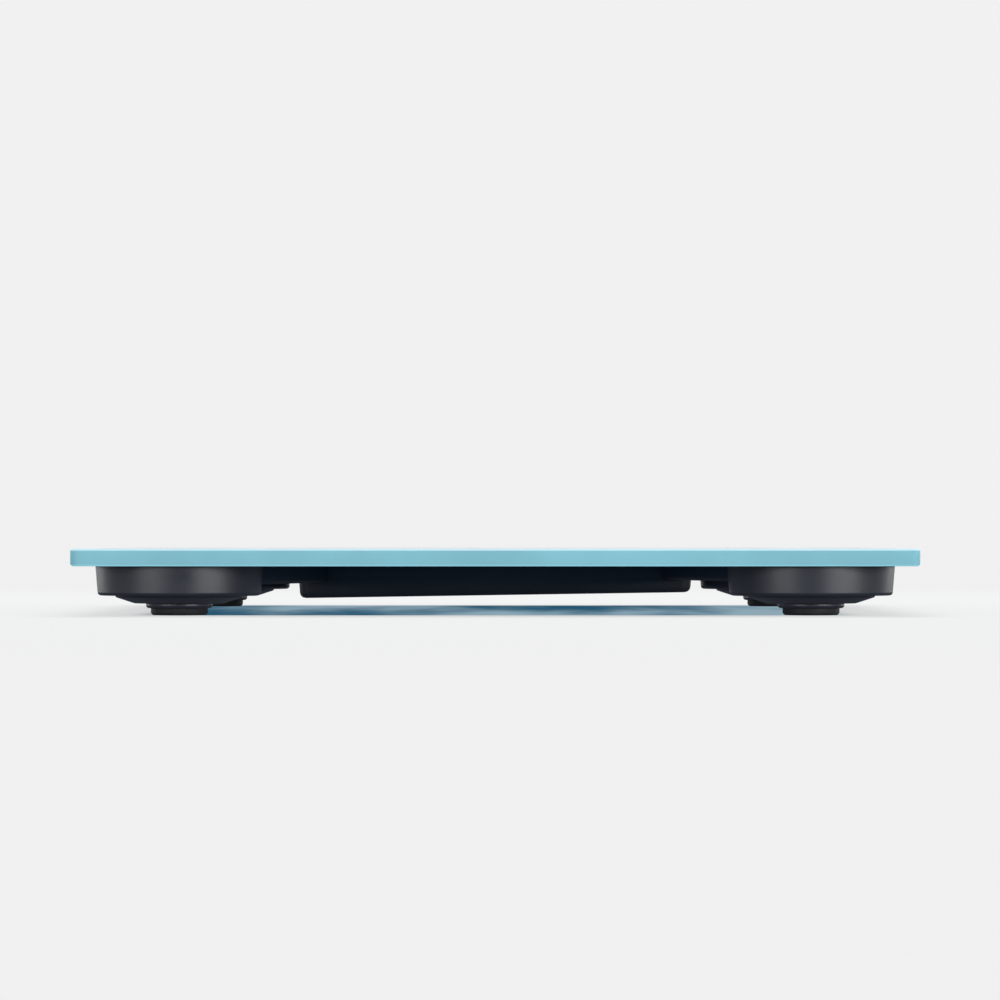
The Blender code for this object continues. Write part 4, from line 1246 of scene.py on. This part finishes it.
class SCALE_OT_stage(bpy.types.Operator):
    """Sets the floor, the lights and the camera"""

    bl_idname = "scale.stage"
    bl_label = "Stage"

    def execute(self, context):
        stage = context.scene.scale_stage
        half = stage.floor_side / 2
        corners = np.array([[(-half, -half), (half, -half), (half, half), (-half, half)]])
        floor = prisms("studio_floor", corners, -10 * MM, 0)
        floor.materials.append(material(studio_floor))
        piece = self.placed("studio_floor", floor)
        piece.visible_diffuse = piece.visible_glossy = False

        world = bpy.data.worlds.new("studio")
        world.use_nodes = True
        self.light_world(Nodes(world.node_tree), stage)
        context.scene.world = world
        context.scene.view_settings.view_transform = "Standard"

        for name, power, azimuth, width in (
            ("key_panel", stage.key_power, 42, 0.95),
            ("fill_panel", stage.fill_power, -36, 0.75),
            ("rim_right", stage.rim_power, 130, 0.5),
            ("rim_left", stage.rim_power, -130, 0.5),
        ):
            size = (width, PANEL_DEPTH)
            self.add_light(name, power, azimuth, PANEL_DISTANCE, PANEL_HEIGHT, size)
        top = self.add_light("top_panel", stage.top_power, 180, 0.9, 1.3, (1.4, 0.7))
        top.visible_glossy = False
        self.add_glow(stage)

        lens = bpy.data.cameras.new("studio_camera")
        lens.lens = stage.lens
        lens.shift_x, lens.shift_y = stage.shift
        lens.clip_start, lens.clip_end = 0.05, 200
        camera = self.placed("studio_camera", lens)
        camera.location = (0, -stage.camera_distance, stage.camera_height)
        camera.rotation_euler = (math.pi / 2, 0, 0)
        context.scene.camera = camera
        return {"FINISHED"}

    def placed(self, name, data):
        """A new object in the scene."""
        item = bpy.data.objects.new(name, data)
        bpy.context.scene.collection.objects.link(item)
        return item

    def light_world(self, made, stage):
        """The backdrop as it is seen, and the softer light that it gives from above and below."""
        _, y, z = made.parts(made.node("TexCoord", output="Generated"))
        around = made.mix(made.ramp(y, -1, 1), stage.light_near, stage.light_far)
        light = made.mix(made.ramp(z, -0.06, 0.03), stage.light_below, around)
        seen = made.node("LightPath", output="Is Camera Ray")
        background = made.tree.nodes["Background"]
        made.join(background.inputs["Color"], made.mix(seen, light, stage.backdrop))

    def add_glow(self, stage):
        """Blue light that comes down through the glass."""
        light = bpy.data.lights.new("glass_glow", "AREA")
        light.size = 0.15
        light.energy = stage.glow_power
        light.color = stage.blue_light_colour
        item = self.placed("glass_glow", light)
        item.location = (0, 0, float(GLASS_LOW[2]) - 0.4 * MM)
        item.visible_camera = item.visible_glossy = False

    def add_light(self, name, power, azimuth, distance, height, size):
        """A strip that faces the scale from an angle measured from the near side to the right."""
        light = bpy.data.lights.new(name, "AREA")
        light.shape = "RECTANGLE"
        light.size, light.size_y = size
        light.energy = power
        item = self.placed(name, light)
        turn = math.radians(azimuth)
        item.location = (distance * math.sin(turn), -distance * math.cos(turn), height)
        item.rotation_euler = (math.pi / 2 - math.atan2(height, distance), 0, turn)
        item.visible_camera = False
        return item


BUILDERS = (
    SCALE_OT_glass,
    SCALE_OT_display,
    SCALE_OT_feet,
    SCALE_OT_cells,
    SCALE_OT_covers,
    SCALE_OT_box,
    SCALE_OT_battery,
    SCALE_OT_board,
    SCALE_OT_button,
    SCALE_OT_stage,
)
GROUPS = {
    "scale_glass": ScaleGlass,
    "scale_feet": ScaleFeet,
    "scale_box": ScaleBox,
    "scale_stage": ScaleStage,
}


class SCALE_PT_sidebar(bpy.types.Panel):
    """Sizes, colours and builders of the glass kitchen scale"""

    bl_idname = "SCALE_PT_sidebar"
    bl_label = "Glass Kitchen Scale"
    bl_space_type = "VIEW_3D"
    bl_region_type = "UI"
    bl_category = "Scale"

    def draw(self, context):
        for name, group in GROUPS.items():
            box = self.layout.box()
            box.label(text=group.__doc__)
            for prop in group.__annotations__:
                box.prop(getattr(context.scene, name), prop)
        for builder in BUILDERS:
            self.layout.operator(builder.bl_idname)


def register():
    for made in (*GROUPS.values(), *BUILDERS, SCALE_PT_sidebar):
        bpy.utils.register_class(made)
    for name, group in GROUPS.items():
        setattr(bpy.types.Scene, name, PointerProperty(type=group))


def unregister():
    for name in GROUPS:
        delattr(bpy.types.Scene, name)
    for made in reversed((*GROUPS.values(), *BUILDERS, SCALE_PT_sidebar)):
        bpy.utils.unregister_class(made)


def main():
    """Builds every piece."""
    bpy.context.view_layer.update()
    register()
    for builder in BUILDERS:
        group, name = builder.bl_idname.split(".")
        getattr(getattr(bpy.ops, group), name)()


if __name__ == "__main__":
    main()
